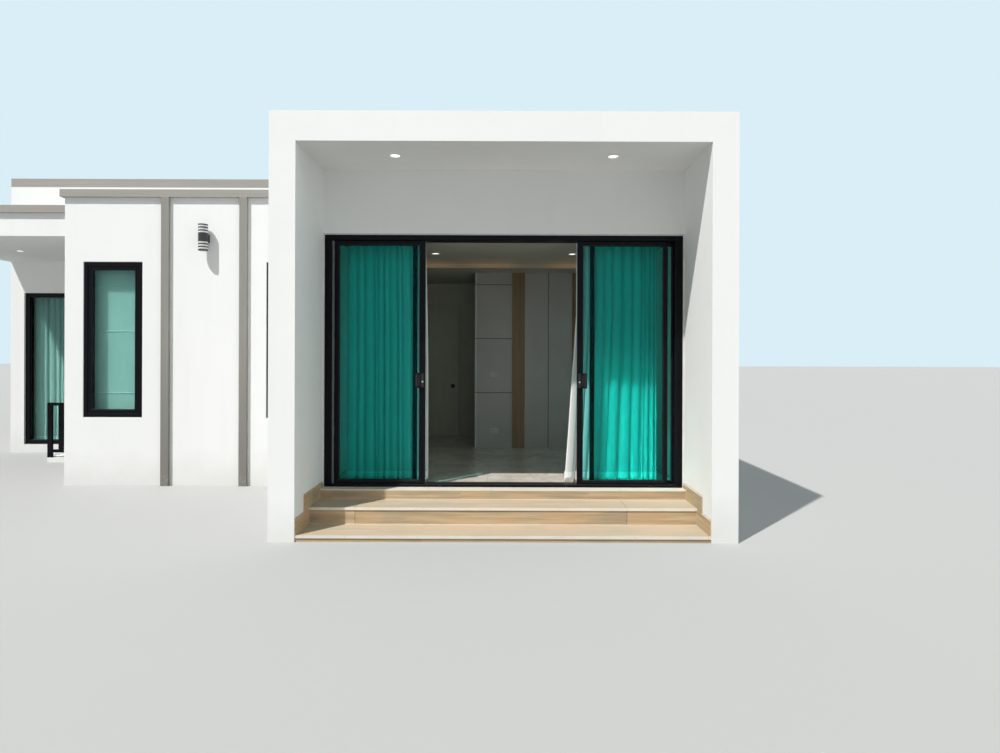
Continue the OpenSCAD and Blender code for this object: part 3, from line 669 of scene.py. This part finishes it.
cover(metal_coating("lamp_coating", (0.034, 0.035, 0.037), 0.4), "wall_light")
cover(door_glass, "fixed_glass", "left_leaf_glass", "right_leaf_glass")
cover(glass("window_glass", (0.46, 0.68, 0.64), 1.2), "window_panes")
cover(make_board_paint(), "panelled_wall")
cover(make_door_paint(), "passage_door")
cover(make_timber(), "timber_strips")
cover(make_ceiling_paint(), "living_ceiling")
cover(white_moulded, "curtain_track", "downlights")
cover(sheer_cloth, "door_curtains", "porch_curtain", "window_blinds")


# Helpers for pieces

def linked(name, data):
    """A new object in the scene."""
    obj = bpy.data.objects.new(name, data)
    SCENE.collection.objects.link(obj)
    return obj


def piece(name, mesh, finish, body="house", smooth=False):
    """A new object at the origin, with its finish and the body that it rides on."""
    obj = linked(name, mesh)
    mesh.materials.clear()
    mesh.materials.append(finish)
    mesh.polygons.foreach_set("use_smooth", [smooth] * len(mesh.polygons))
    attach(obj, body)
    return obj


def shaped(name, shape):
    """A mesh from a function that fills a bmesh."""
    bm = bmesh.new()
    shape(bm)
    bmesh.ops.recalc_face_normals(bm, faces=bm.faces)
    mesh = bpy.data.meshes.new(name)
    bm.to_mesh(mesh)
    bm.free()
    return mesh


def built(shape, finish, body="house", smooth=False, name=""):
    """A piece from a function that fills a bmesh, with that function's name if no other is given."""
    name = name or shape.__name__
    piece(name, shaped(name, shape), finish, body, smooth)


def add_block(bm, low, high, edge=0.0, segments=2):
    """A box with rounded edges."""
    size = Vector(high) - Vector(low)
    matrix = Matrix.Translation((Vector(high) + Vector(low)) / 2) @ Matrix.Diagonal((*size, 1))
    corners = bmesh.ops.create_cube(bm, size=1.0, matrix=matrix)["verts"]
    if edge:
        edges = list({e for v in corners for e in v.link_edges})
        bmesh.ops.bevel(bm, geom=edges, offset=edge, segments=segments, profile=0.5, affect="EDGES")


def add_skin(bm, rows, ends=False):
    """Faces from each closed row of corners to the next, and one on the first and last row if asked."""
    for row, after in zip(rows, rows[1:]):
        for i in range(len(row)):
            j = (i + 1) % len(row)
            bm.faces.new((row[i], row[j], after[j], after[i]))
    if ends:
        bm.faces.new(rows[0])
        bm.faces.new(rows[-1][::-1])


def add_lathe(bm, profile, segments, matrix=Matrix()):
    """A closed outline of (radius, height) points, turned round the matrix's z."""
    angles = [math.tau * i / segments for i in range(segments)]
    rings = [
        [bm.verts.new(matrix @ Vector((radius * math.cos(a), radius * math.sin(a), height))) for a in angles]
        for radius, height in profile
    ]
    add_skin(bm, rings + rings[:1])
    bmesh.ops.remove_doubles(bm, verts=[v for ring in rings for v in ring], dist=1e-6)


def add_moulding(bm, matrix, width, height, outline, bottom=True):
    """A mitred moulding round an upright rectangle, with or without its bottom side. The outline is a
    closed list of (inwards, depth) points."""
    up = int(bottom)
    corners = [(0, 0, 1, up), (0, height, 1, -1), (width, height, -1, -1), (width, 0, -1, up)]
    rows = [
        [bm.verts.new(matrix @ Vector((x + side_x * a, d, z + side_z * a))) for a, d in outline]
        for x, z, side_x, side_z in corners
    ]
    add_skin(bm, rows + rows[:1] if bottom else rows, ends=not bottom)


def add_gaskets(bm, matrix, width, height):
    """Rubber wedges round both faces of an upright pane, which starts at the matrix."""
    for face, out in ((0.0, -1), (PANE_T, 1)):
        outline = [(0.0002, 0.0068), (0.0030, 0.0058), (0.0052, 0.0004), (0.0002, 0.0004)]
        add_moulding(bm, matrix, width, height, [(a, face + out * d) for a, d in outline])


def add_fillet(bm, start, end, one, other, size):
    """A hollow fillet between two faces that meet on a line, and lie along one and other from it."""
    one, other = Vector(one) * size, Vector(other) * size
    arc = [one, 0.5 * one + 0.16 * other, 0.3 * one + 0.3 * other, 0.16 * one + 0.5 * other, other]
    rows = [[bm.verts.new(Vector(spot) + step) for step in (Vector(), *arc)] for spot in (start, end)]
    add_skin(bm, rows)
    for row in rows:
        bm.faces.new(row)


def make_repeater():
    """The node tree that puts copies of a small part on points."""
    parts = (("Points", "Geometry"), ("Part", "Object"), ("Finish", "Material"))
    sizes = (("Size", "Float"), ("Turn", "Vector"))
    tree, source = new_group("repeated_part", *parts, *sizes, kind="GeometryNodeTree")
    part = add(tree, "GeometryNodeObjectInfo", {"Object": source["Part"]})["Geometry"]
    copies = add(tree, "GeometryNodeInstanceOnPoints", {
        "Points": source["Points"], "Instance": part, "Rotation": source["Turn"], "Scale": source["Size"],
    })
    real = add(tree, "GeometryNodeRealizeInstances", {"Geometry": copies})
    done = add(tree, "GeometryNodeSetMaterial", {"Geometry": real, "Material": source["Finish"]})
    return give(tree, {"Geometry": done}, "Geometry")


REPEATER = make_repeater()


def repeated(name, shape, spots, finish, body="house", size=1.0, turn=(0.0, 0.0, 0.0), smooth=False):
    """Copies of a small part, with one size and turn, as one plain mesh."""
    points = bpy.data.meshes.new(name + "_points")
    points.from_pydata(spots, [], [])
    carrier = linked(name + "_points", points)
    part = linked(name + "_part", shaped(name + "_part", shape))
    modifier = carrier.modifiers.new("copies", "NODES")
    modifier.node_group = REPEATER
    for socket, value in (("Part", part), ("Finish", finish), ("Size", size), ("Turn", turn)):
        modifier[REPEATER.interface.items_tree[socket].identifier] = value
    ready = carrier.evaluated_get(bpy.context.evaluated_depsgraph_get())
    mesh = bpy.data.meshes.new_from_object(ready)
    mesh.name = name
    for obj in (carrier, part):
        bpy.data.objects.remove(obj)
    return piece(name, mesh, finish, body, smooth)


def facing_front(x, y, z):
    """A matrix at a spot, whose z points out of the front."""
    return Matrix.Translation((x, y, z)) @ Matrix.Rotation(math.radians(90), 4, "X")


# Cloth: gathered curtains and flat blinds

def eased(values, spots):
    """Random values joined by a smooth curve, read at spots between 0 and the last of them."""
    first = np.clip(np.floor(spots).astype(int), 0, len(values) - 2)
    part = spots - first
    part = part * part * (3 - 2 * part)
    return values[first] * (1 - part) + values[first + 1] * part


def cloth_mesh(name, points, across, foot):
    """A mesh of a grid of points, with the flat cloth in metres as its UV map."""
    points = np.array(points)
    total, columns = points.shape[:2]
    faces = [
        (j * columns + i, j * columns + i + 1, (j + 1) * columns + i + 1, (j + 1) * columns + i)
        for j in range(total - 1) for i in range(columns - 1)
    ]
    mesh = bpy.data.meshes.new(name)
    mesh.from_pydata(points.reshape(-1, 3).tolist(), [], faces)
    uv = mesh.uv_layers.new(name="cloth")
    corner = np.zeros(len(mesh.loops), dtype=int)
    mesh.loops.foreach_get("vertex_index", corner)
    flat = np.stack([np.tile(across, total), points[:, :, 2].reshape(-1) - foot], 1)
    uv.data.foreach_set("uv", flat[corner].reshape(-1))
    return mesh


def gathered_curtain(name, left_edge, right_edge, hem_side, box, folds, seed):
    """A sheer curtain in uneven folds that hang straight, broad in front and narrow behind, with its foot
    hem turned up behind and a wide flat fold at its free edge.

    An edge is a list of (height, x), upwards. The side hem is on the left edge, the right edge or none."""
    per_fold, rows, hem_rows, hem_gap, clearance = 24, 40, 4, 0.0025, 0.004
    rng = np.random.default_rng(seed)
    (_, front, foot), (_, back, top) = box
    middle_y, depth = (front + back) / 2, (back - front) / 2 - clearance
    columns = folds * per_fold + 1
    s = np.linspace(0, 1, columns)
    widths = 0.3 + 1.8 * rng.uniform(0.0, 1.0, folds) ** 1.4
    counts = np.arange(folds + 1.0)
    if hem_side != "none":
        edge = 0 if hem_side == "left" else -1
        widths[edge] = 1.7
        counts[edge] += 0.3 if hem_side == "left" else -0.3
    joints = np.concatenate([[0], np.cumsum(widths)])
    passed = np.interp(s * joints[-1], joints, counts)
    strength = eased(rng.uniform(0.3, 1.0, 2 * folds + 2), 2 * passed)
    drift = eased(rng.uniform(-1.0, 1.0, folds + 2), s * (folds + 1))
    fold_width = eased(np.append(widths, widths[-1]) / joints[-1], passed)
    points = []
    for height in np.linspace(top, foot, rows):
        down = (top - height) / (top - foot)
        turn = math.tau * (passed + 0.16 * drift * down)
        y = middle_y + depth * strength * (0.8 + 0.2 * down) * np.tanh(1.3 * np.cos(turn)) / math.tanh(1.3)
        x0, x1 = (np.interp(height, *zip(*side)) for side in (left_edge, right_edge))
        x = x0 + (x1 - x0) * (s - 0.165 * fold_width * np.sin(turn) * np.sin(math.pi * s) ** 0.2)
        points.append(np.stack([np.clip(x, x0, x1), y, np.full(columns, height)], 1))
    for step in range(1, hem_rows + 1):
        turned = points[rows - 1].copy()
        turned[:, 1] += hem_gap
        turned[:, 2] = foot + FOOT_HEM * step / hem_rows
        points.append(turned)
    steps = np.linalg.norm(np.diff(points[rows // 2], axis=0), axis=1)
    across = np.concatenate([[0], np.cumsum(steps)])
    width = float(across[-1])
    across = {"left": across, "right": width - across, "none": across + 1.0}[hem_side]
    obj = piece(name, cloth_mesh(name, points, across, foot), sheer_cloth, smooth=True)
    return obj


def flat_blind(name, left, right, middle_y, foot, top, seed):
    """Cloth that hangs almost straight, with a pocket round each batten and a heavier foot."""
    rng = np.random.default_rng(seed)
    pockets = BATTENS + [foot + 0.012]
    heights = [*np.linspace(foot, top, 50), *(z + k * 0.003 for z in pockets for k in range(-5, 6))]
    heights = sorted({round(float(z), 4) for z in heights if foot <= z <= top})
    columns = 40
    s = np.linspace(0, 1, columns)
    ripple = eased(rng.uniform(-1, 1, 7), 6 * s)
    points = []
    for height in heights:
        pocket = sum(math.exp(-(((height - z) / 0.007) ** 2)) for z in pockets)
        free = min(abs(height - z) for z in BATTENS + [foot, top])
        y = middle_y - 0.0055 * pocket + 0.003 * ripple * min(1.0, free / 0.2)
        points.append(np.stack([left + (right - left) * s, y, np.full(columns, height)], 1))
    mesh = cloth_mesh(name, points, (right - left) * s, foot)
    obj = piece(name, mesh, blind_cloth, smooth=True)
    flat = (round(right - left, 3), round(top - foot, 3))
    return obj


def plumb(x):
    """A curtain's edge that hangs straight down at x."""
    return [(0.0, x), (3.0, x)]


door_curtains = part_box("door_curtains")
(curtain_left, _, _), (curtain_right, _, _) = door_curtains
left_curtain = gathered_curtain(
    "left_curtain", plumb(curtain_left + CURTAIN_LEFT_GAP), LEFT_FREE_EDGE, "right", door_curtains,
    folds=11, seed=4,
)
right_curtain = gathered_curtain(
    "right_curtain", RIGHT_FREE_EDGE, plumb(curtain_right - CURTAIN_RIGHT_GAP), "left", door_curtains,
    folds=12, seed=9,
)
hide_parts("door_curtains")
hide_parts("door_curtains")

porch_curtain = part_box("porch_curtain")
(porch_left, _, _), (porch_right, _, _) = porch_curtain
porch_sheer = gathered_curtain(
    "porch_sheer", plumb(porch_left + SHEER_GAP), plumb(porch_right - SHEER_GAP), "none", porch_curtain,
    folds=21, seed=17,
)
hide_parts("porch_curtain")

(_, blind_front, blind_foot), (_, blind_back, blind_top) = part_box("window_blinds")
for index, (x, _, _) in enumerate(BLIND_WINDOWS):
    blind = flat_blind(
        f"blind_{index + 1}", x + BLIND_GAP, x + WINDOW_SIZE[0] - BLIND_GAP, (blind_front + blind_back) / 2,
        blind_foot, blind_top, seed=3 + index,
    )
    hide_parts("window_blinds")


# Windows and porch glazing: gaskets, sash beads and sealant

WINDOW_MATRICES = [
    Matrix.Translation((x, y, WINDOW_SILL)) @ Matrix.Rotation(math.radians(turn), 4, "Z")
    for x, y, turn in WINDOWS
]


def window_gaskets(bm):
    width, height = (side - 2 * WINDOW_GLASS_EDGE for side in WINDOW_SIZE)
    corner = Matrix.Translation((WINDOW_GLASS_EDGE, WINDOW_GLASS_FACE, WINDOW_GLASS_EDGE))
    for matrix in WINDOW_MATRICES:
        add_gaskets(bm, matrix @ corner, width, height)


def window_beads(bm):
    ridge = [(0.0, 0.0005), (0.0012, -0.0022), (0.0038, -0.0022), (0.0050, 0.0005)]
    for matrix in WINDOW_MATRICES:
        for edge, face in ((WINDOW_BAR - 0.010, WINDOW_FACE), (WINDOW_BAR + 0.026, SASH_FACE)):
            add_moulding(bm, matrix, *WINDOW_SIZE, [(edge + a, face + d) for a, d in ridge])


def window_sealant(bm):
    fillet = [(0.0002, 0.0006), (0.0020, 0.0034), (0.0058, 0.0053), (0.0002, 0.0053)]
    for matrix in WINDOW_MATRICES:
        add_moulding(bm, matrix, *WINDOW_SIZE, fillet)


def porch_gaskets(bm):
    (x0, y0, z0), (x1, y1, z1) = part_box("porch_glazing_frame")
    middle = (x0 + x1) / 2
    for left, right in ((x0 + PORCH_BAR, middle - PORCH_BAR / 2), (middle + PORCH_BAR / 2, x1 - PORCH_BAR)):
        corner = Matrix.Translation((left, (y0 + y1 - PANE_T) / 2, z0 + PORCH_BAR))
        add_gaskets(bm, corner, right - left, z1 - z0 - 2 * PORCH_BAR)


built(window_gaskets, black_rubber)
built(window_beads, black_coating)
built(window_sealant, white_sealant)
built(porch_gaskets, black_rubber)


# Sliding door: gaskets, beads, brush seal, drain caps, sealant and locks

def add_frame_moulding(bm, height, outline):
    """A moulding round the sides and the head of the door's frame."""
    corner = Matrix.Translation((INSIDE_LEFT, Y_DOOR, LIVING_FLOOR))
    add_moulding(bm, corner, INSIDE_RIGHT - INSIDE_LEFT, height, outline, bottom=False)


def fixed_gaskets(bm):
    (_, y0, z0), (_, _, z1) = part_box("fixed_glass")
    for left, right in FIXED_PANES:
        add_gaskets(bm, Matrix.Translation((left, y0, z0)), right - left, z1 - z0)


def frame_beads(bm):
    """A fine ridge round the face of the outer frame, and its lip at the opening."""
    for edge, out in ((0.0375, 0.003), (0.0475, 0.002)):
        ridge = [(0.0, 0.0004), (0.0008, -out), (0.0032, -out), (0.0042, 0.0004)]
        add_frame_moulding(bm, FRAME_TOP - LIVING_FLOOR, [(edge + a, d) for a, d in ridge])


def door_sealant(bm):
    """Plaster and sealant lapped over the edge of the frame."""
    lap = [(0.0002, 0.0004), (0.0002, -0.0030), (0.0105, -0.0030), (0.0138, -0.0012), (0.0140, 0.0004)]
    add_frame_moulding(bm, FRAME_TOP + 0.012 - LIVING_FLOOR, lap)


def brush_seal(bm):
    """A thin brush fin on the left jamb, a little wavy along its free edge."""
    rng = np.random.default_rng(12)
    count, waves = 120, 40
    wave = eased(rng.uniform(-1, 1, waves), np.linspace(0, waves - 1, count))
    root, front = BRUSH_ROOT_X, BRUSH_FRONT_Y
    rows = []
    for z, x in zip(np.linspace(*BRUSH_Z, count), BRUSH_TIP_X + 0.0014 * wave):
        outline = [(root, 0.0), (x - 0.002, 0.0025), (x, 0.0040), (x - 0.002, 0.0055), (root, 0.0080)]
        rows.append([bm.verts.new((across, front + back, z)) for across, back in outline])
    add_skin(bm, rows, ends=True)


def drain_cap(bm):
    add_block(bm, (-0.017, -0.006, -0.0035), (0.017, 0.001, 0.0035), 0.002)


built(fixed_gaskets, black_rubber)
built(frame_beads, black_coating)
built(door_sealant, white_sealant)
built(brush_seal, grey_pile)
repeated("drain_caps", drain_cap, [(x, Y_DOOR, DRAIN_Z) for x in DRAINS_X], black_rubber)


def leaf_gaskets(bm, side):
    (x0, y0, z0), (x1, _, z1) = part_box(f"{side}_leaf_glass")
    add_gaskets(bm, Matrix.Translation((x0, y0, z0)), x1 - x0, z1 - z0)


def leaf_beads(bm, side):
    """A fine ridge on the stiles and rails of a leaf, outside its glass."""
    (x0, _, z0), (x1, _, z1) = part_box(f"{side}_leaf_glass")
    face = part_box(f"{side}_leaf_frame")[0][1]
    ridge = [(-0.0160, 0.0004), (-0.0150, -0.0020), (-0.0125, -0.0020), (-0.0115, 0.0004)]
    add_moulding(bm, Matrix.Translation((x0, face, z0)), x1 - x0, z1 - z0, ridge)


def lock_trim(side, meeting):
    """A lock's raised plate, turn and screws' spots. Meeting is 1 if the other leaf is on the right."""
    (x0, y0, z0), (x1, _, z1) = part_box(f"{side}_leaf_lock")
    edge = x1 if meeting > 0 else x0

    def block(bm, near, far, low, high, out, rounding):
        xs = sorted((edge - meeting * near, edge - meeting * far))
        add_block(bm, (xs[0], y0 - out, z0 + low), (xs[1], y0 + 0.001, z0 + high), rounding)

    def plate(bm):
        block(bm, 0.006, 0.036, 0.008, 0.137, 0.003, 0.0022)
        block(bm, 0.046, 0.058, 0.020, 0.125, 0.006, 0.0028)
        block(bm, 0.066, 0.086, 0.012, 0.133, 0.002, 0.0016)

    def turn(bm):
        rose = [
            (0.0, 0.0066), (0.003, 0.0066), (0.0042, 0.0050), (0.0068, 0.0064), (0.0084, 0.0056),
            (0.0088, 0.0026), (0.0, 0.0026),
        ]
        add_lathe(bm, rose, 32, facing_front(edge - meeting * 0.020, y0, LOCK_TURN_Z))

    return plate, turn, [(edge - meeting * 0.021, y0 - 0.0028, z0 + up) for up in (0.018, 0.127)]


def screw_head(bm):
    """A domed head with a cross, standing on z."""
    dome = [(0.0, 0.0016), (0.0018, 0.0015), (0.0030, 0.0009), (0.0034, 0.0), (0.0, 0.0)]
    add_lathe(bm, dome, 16)
    for x, y in ((0.0022, 0.0004), (0.0004, 0.0022)):
        add_block(bm, (-x, -y, 0.0012), (x, y, 0.0018))


for side, meeting in (("left", 1), ("right", -1)):
    body = f"{side}_leaf"
    plate, turn, screws = lock_trim(side, meeting)
    built(lambda bm: leaf_gaskets(bm, side), black_rubber, body, name=f"{side}_leaf_gaskets")
    built(lambda bm: leaf_beads(bm, side), black_coating, body, name=f"{side}_leaf_beads")
    built(plate, black_rubber, body, name=f"{side}_lock_trim")
    built(turn, steel, body, smooth=True, name=f"{side}_lock_turn")
    outwards = (math.pi / 2, 0.0, 0.0)
    repeated(f"{side}_lock_screws", screw_head, screws, black_rubber, body, turn=outwards)


# Steps: grout in the corners and along the tops of the skirtings

def step_grout(bm):
    inner = (INSIDE_LEFT + SKIRTING_T, INSIDE_RIGHT - SKIRTING_T)
    for tread, riser in zip(TREADS, RISERS_Y[1:]):
        add_fillet(bm, (inner[0], riser, tread), (inner[1], riser, tread), (0, -1, 0), (0, 0, 1), 0.005)
        for x, way in zip(inner, (1, -1)):
            add_fillet(bm, (x, riser, tread), (x, riser, tread + 0.12), (way, 0, 0), (0, -1, 0), 0.004)
    ends = (RISERS_Y[0], SKIRTING_STEP_Y, Y_DOOR)
    for wall, way in ((INSIDE_LEFT, 1), (INSIDE_RIGHT, -1)):
        for start, end, top in zip(ends, ends[1:], SKIRTING_TOPS):
            add_fillet(bm, (wall, start, top), (wall, end, top), (way, 0, 0), (0, 0, 1), 0.0095)


built(step_grout, pale_grout)


# Room: switches, socket and the rose of the knob

def wall_plates(bm):
    def block(x0, x1, z, half, back, front, *rounding):
        add_block(bm, (x0, PANEL_Y - front, z - half), (x1, PANEL_Y + back, z + half), *rounding)

    for z in (SWITCH_Z, SOCKET_Z):
        block(PLATE_LEFT, PLATE_RIGHT, z, PLATE_H / 2, 0.001, 0.008, 0.003, 3)
    for i in range(3):
        x = SWITCH_X + SWITCH_PITCH * i
        block(x - 0.013, x + 0.013, SWITCH_Z, 0.024, -0.006, 0.0115, 0.0015)
    face = [(0.0, 0.011), (0.017, 0.011), (0.0185, 0.0095), (0.0185, 0.006), (0.0, 0.006)]
    for x in SOCKETS_X:
        add_lathe(bm, face, 24, facing_front(x, PANEL_Y, SOCKET_Z))


def socket_slots(bm):
    for x in SOCKETS_X:
        for slot in (x - 0.0065, x + 0.0065):
            low = (slot - 0.0012, PANEL_Y - 0.0114, SOCKET_Z - 0.006)
            add_block(bm, low, (slot + 0.0012, PANEL_Y - 0.009, SOCKET_Z + 0.006))


def knob_rose(bm):
    rose = [(0.020, 0.0), (0.034, 0.0), (0.034, 0.003), (0.031, 0.005), (0.027, 0.0045), (0.020, 0.006)]
    add_lathe(bm, rose, 36, facing_front(KNOB_X, PASSAGE_DOOR_FACE, KNOB_Z))


built(wall_plates, ivory_plate)
built(socket_slots, black_rubber)
built(knob_rose, black_rubber, smooth=True)


# Porch railing: plates and bolts under its two posts

(rail_left, rail_front, rail_foot), (rail_right, _, _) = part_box("porch_railing")
POSTS = [rail_left + POST_W / 2 + 0.010, rail_right - POST_W / 2 - 0.010]
PLATE_FOOT, PLATE_TOP = rail_foot - 0.0005, rail_foot + 0.006


def post_plates(bm):
    for x in POSTS:
        low = (x - PLATE_HALF, rail_front + 0.002, PLATE_FOOT)
        add_block(bm, low, (x + PLATE_HALF, PLATE_BACK, PLATE_TOP), 0.0015)


def bolt_head(bm):
    """A hexagon head on a washer, standing on z."""
    head = [(0.0, 0.0078), (0.0056, 0.0078), (0.0066, 0.0070), (0.0066, 0.0014), (0.0, 0.0014)]
    add_lathe(bm, [(0.0, 0.0018), (0.009, 0.0018), (0.0095, 0.0), (0.0, 0.0)], 24)
    add_lathe(bm, head, 6)


built(post_plates, black_coating)
bolts = [(x + off, BOLT_Y, PLATE_TOP) for x in POSTS for off in (-BOLT_OFF, BOLT_OFF)]
repeated("post_bolts", bolt_head, bolts, steel, turn=(0.0, 0.0, 0.4))


# Downlights: a trim ring, a stepped reflector and a lit lens

def trim_ring(bm):
    add_lathe(bm, [
        (0.054, 0.0), (0.0545, -0.0016), (0.053, -0.003), (0.050, -0.0034), (0.046, -0.0028),
        (0.0445, -0.001), (0.0435, 0.004), (0.042, 0.011), (0.0405, 0.0125), (0.0405, 0.0135),
        (0.0498, 0.0135), (0.0498, 0.0),
    ], 48)


def lens(bm):
    add_lathe(bm, [
        (0.0, 0.0035), (0.018, 0.0037), (0.032, 0.0044), (0.0405, 0.0062), (0.0425, 0.0085),
        (0.0425, 0.0105), (0.0, 0.0105),
    ], 40)


downlight_rings = repeated(
    "downlight_rings", trim_ring, DOWNLIGHTS, white_moulded, smooth=True,
)
repeated("downlight_lenses", lens, DOWNLIGHTS, lit_lens, smooth=True)
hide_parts("downlights")


# Wall light: pale lamp sleeves in the gaps between its rings

def light_sleeves(bm):
    (x0, y0, z0), (x1, _, _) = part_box("wall_light")
    radius = (x1 - x0) / 2
    inner, outer = radius - 0.0135, radius - 0.0015
    for low, high in SLEEVES:
        add_lathe(bm, [
            (inner, low), (outer - 0.001, low), (outer, low + 0.001),
            (outer, high - 0.001), (outer - 0.001, high), (inner, high),
        ], 40, Matrix.Translation((x0 + radius, y0 + radius, z0)))


built(light_sleeves, opal_lamp)


# Stage, light and camera

def seen_or_lit(tree, plain, seen_by_camera):
    """Picks what the camera, gloss and glass see, in place of what lights the house."""
    path = add(tree, "ShaderNodeLightPath")
    seen = calc("MAXIMUM", path["Is Camera Ray"], path["Is Glossy Ray"])
    return blended(calc("MAXIMUM", seen, path["Is Transmission Ray"]), plain, seen_by_camera)


def make_stage():
    """The pale floor. It looks paler than it lights the house."""
    finish = Finish("studio_floor", Roughness=0.9, Specular_IOR_Level=0.2)
    tint = seen_or_lit(finish.tree, (0.26, 0.26, 0.255), (0.42, 0.42, 0.415))
    feed(finish.shader.node, {"Base Color": tint})
    mesh = bpy.data.meshes.new("studio_floor")
    half = 90
    corners = [(-half, -half, 0), (half, -half, 0), (half, half, 0), (-half, half, 0)]
    mesh.from_pydata(corners, [], [(0, 1, 2, 3)])
    mesh.materials.append(finish.material)
    obj = linked("studio_floor", mesh)


def make_world():
    """Soft fill from all round, and a pale background for the camera, for gloss and through glass."""
    world = bpy.data.worlds.new("studio")
    SCENE.world = world
    world.use_nodes = True
    tree = world.node_tree
    tree.nodes.clear()
    colour = seen_or_lit(tree, toned((0.88, 0.94, 0.96), 0.44), (0.70, 0.855, 0.93))
    feed(tree.nodes.new("ShaderNodeOutputWorld"), {0: add(tree, "ShaderNodeBackground", {"Color": colour})})


def make_lights():
    """A crisp key light from the front left, and a broad weak one from the right."""
    for name, energy, spread, colour, direction in (
        ("key_light", 4.1, 0.9, (1.0, 0.985, 0.96), (0.93, 1.0, -2.05)),
        ("side_light", 1.05, 70.0, (0.82, 0.97, 1.0), (-1.0, 0.12, -0.25)),
    ):
        data = bpy.data.lights.new(name, "SUN")
        data.energy = energy
        data.angle = math.radians(spread)
        data.color = colour
        light = linked(name, data)
        light.rotation_euler = Vector(direction).to_track_quat("-Z", "Y").to_euler()


def make_camera():
    data = bpy.data.cameras.new("camera")
    data.sensor_width = 36
    data.lens = FOCAL_PIXELS * data.sensor_width / IMAGE_WIDTH
    data.shift_x, data.shift_y = CAMERA_SHIFT
    camera = linked("camera", data)
    upright = Matrix.Rotation(math.radians(90), 4, "X") @ Matrix.Rotation(CAMERA_ROLL, 4, "Z")
    camera.matrix_world = Matrix.Translation(CAMERA_PLACE) @ upright
    SCENE.camera = camera


make_stage()
make_world()
make_lights()
make_camera()
SCENE.view_settings.view_transform = "Standard"
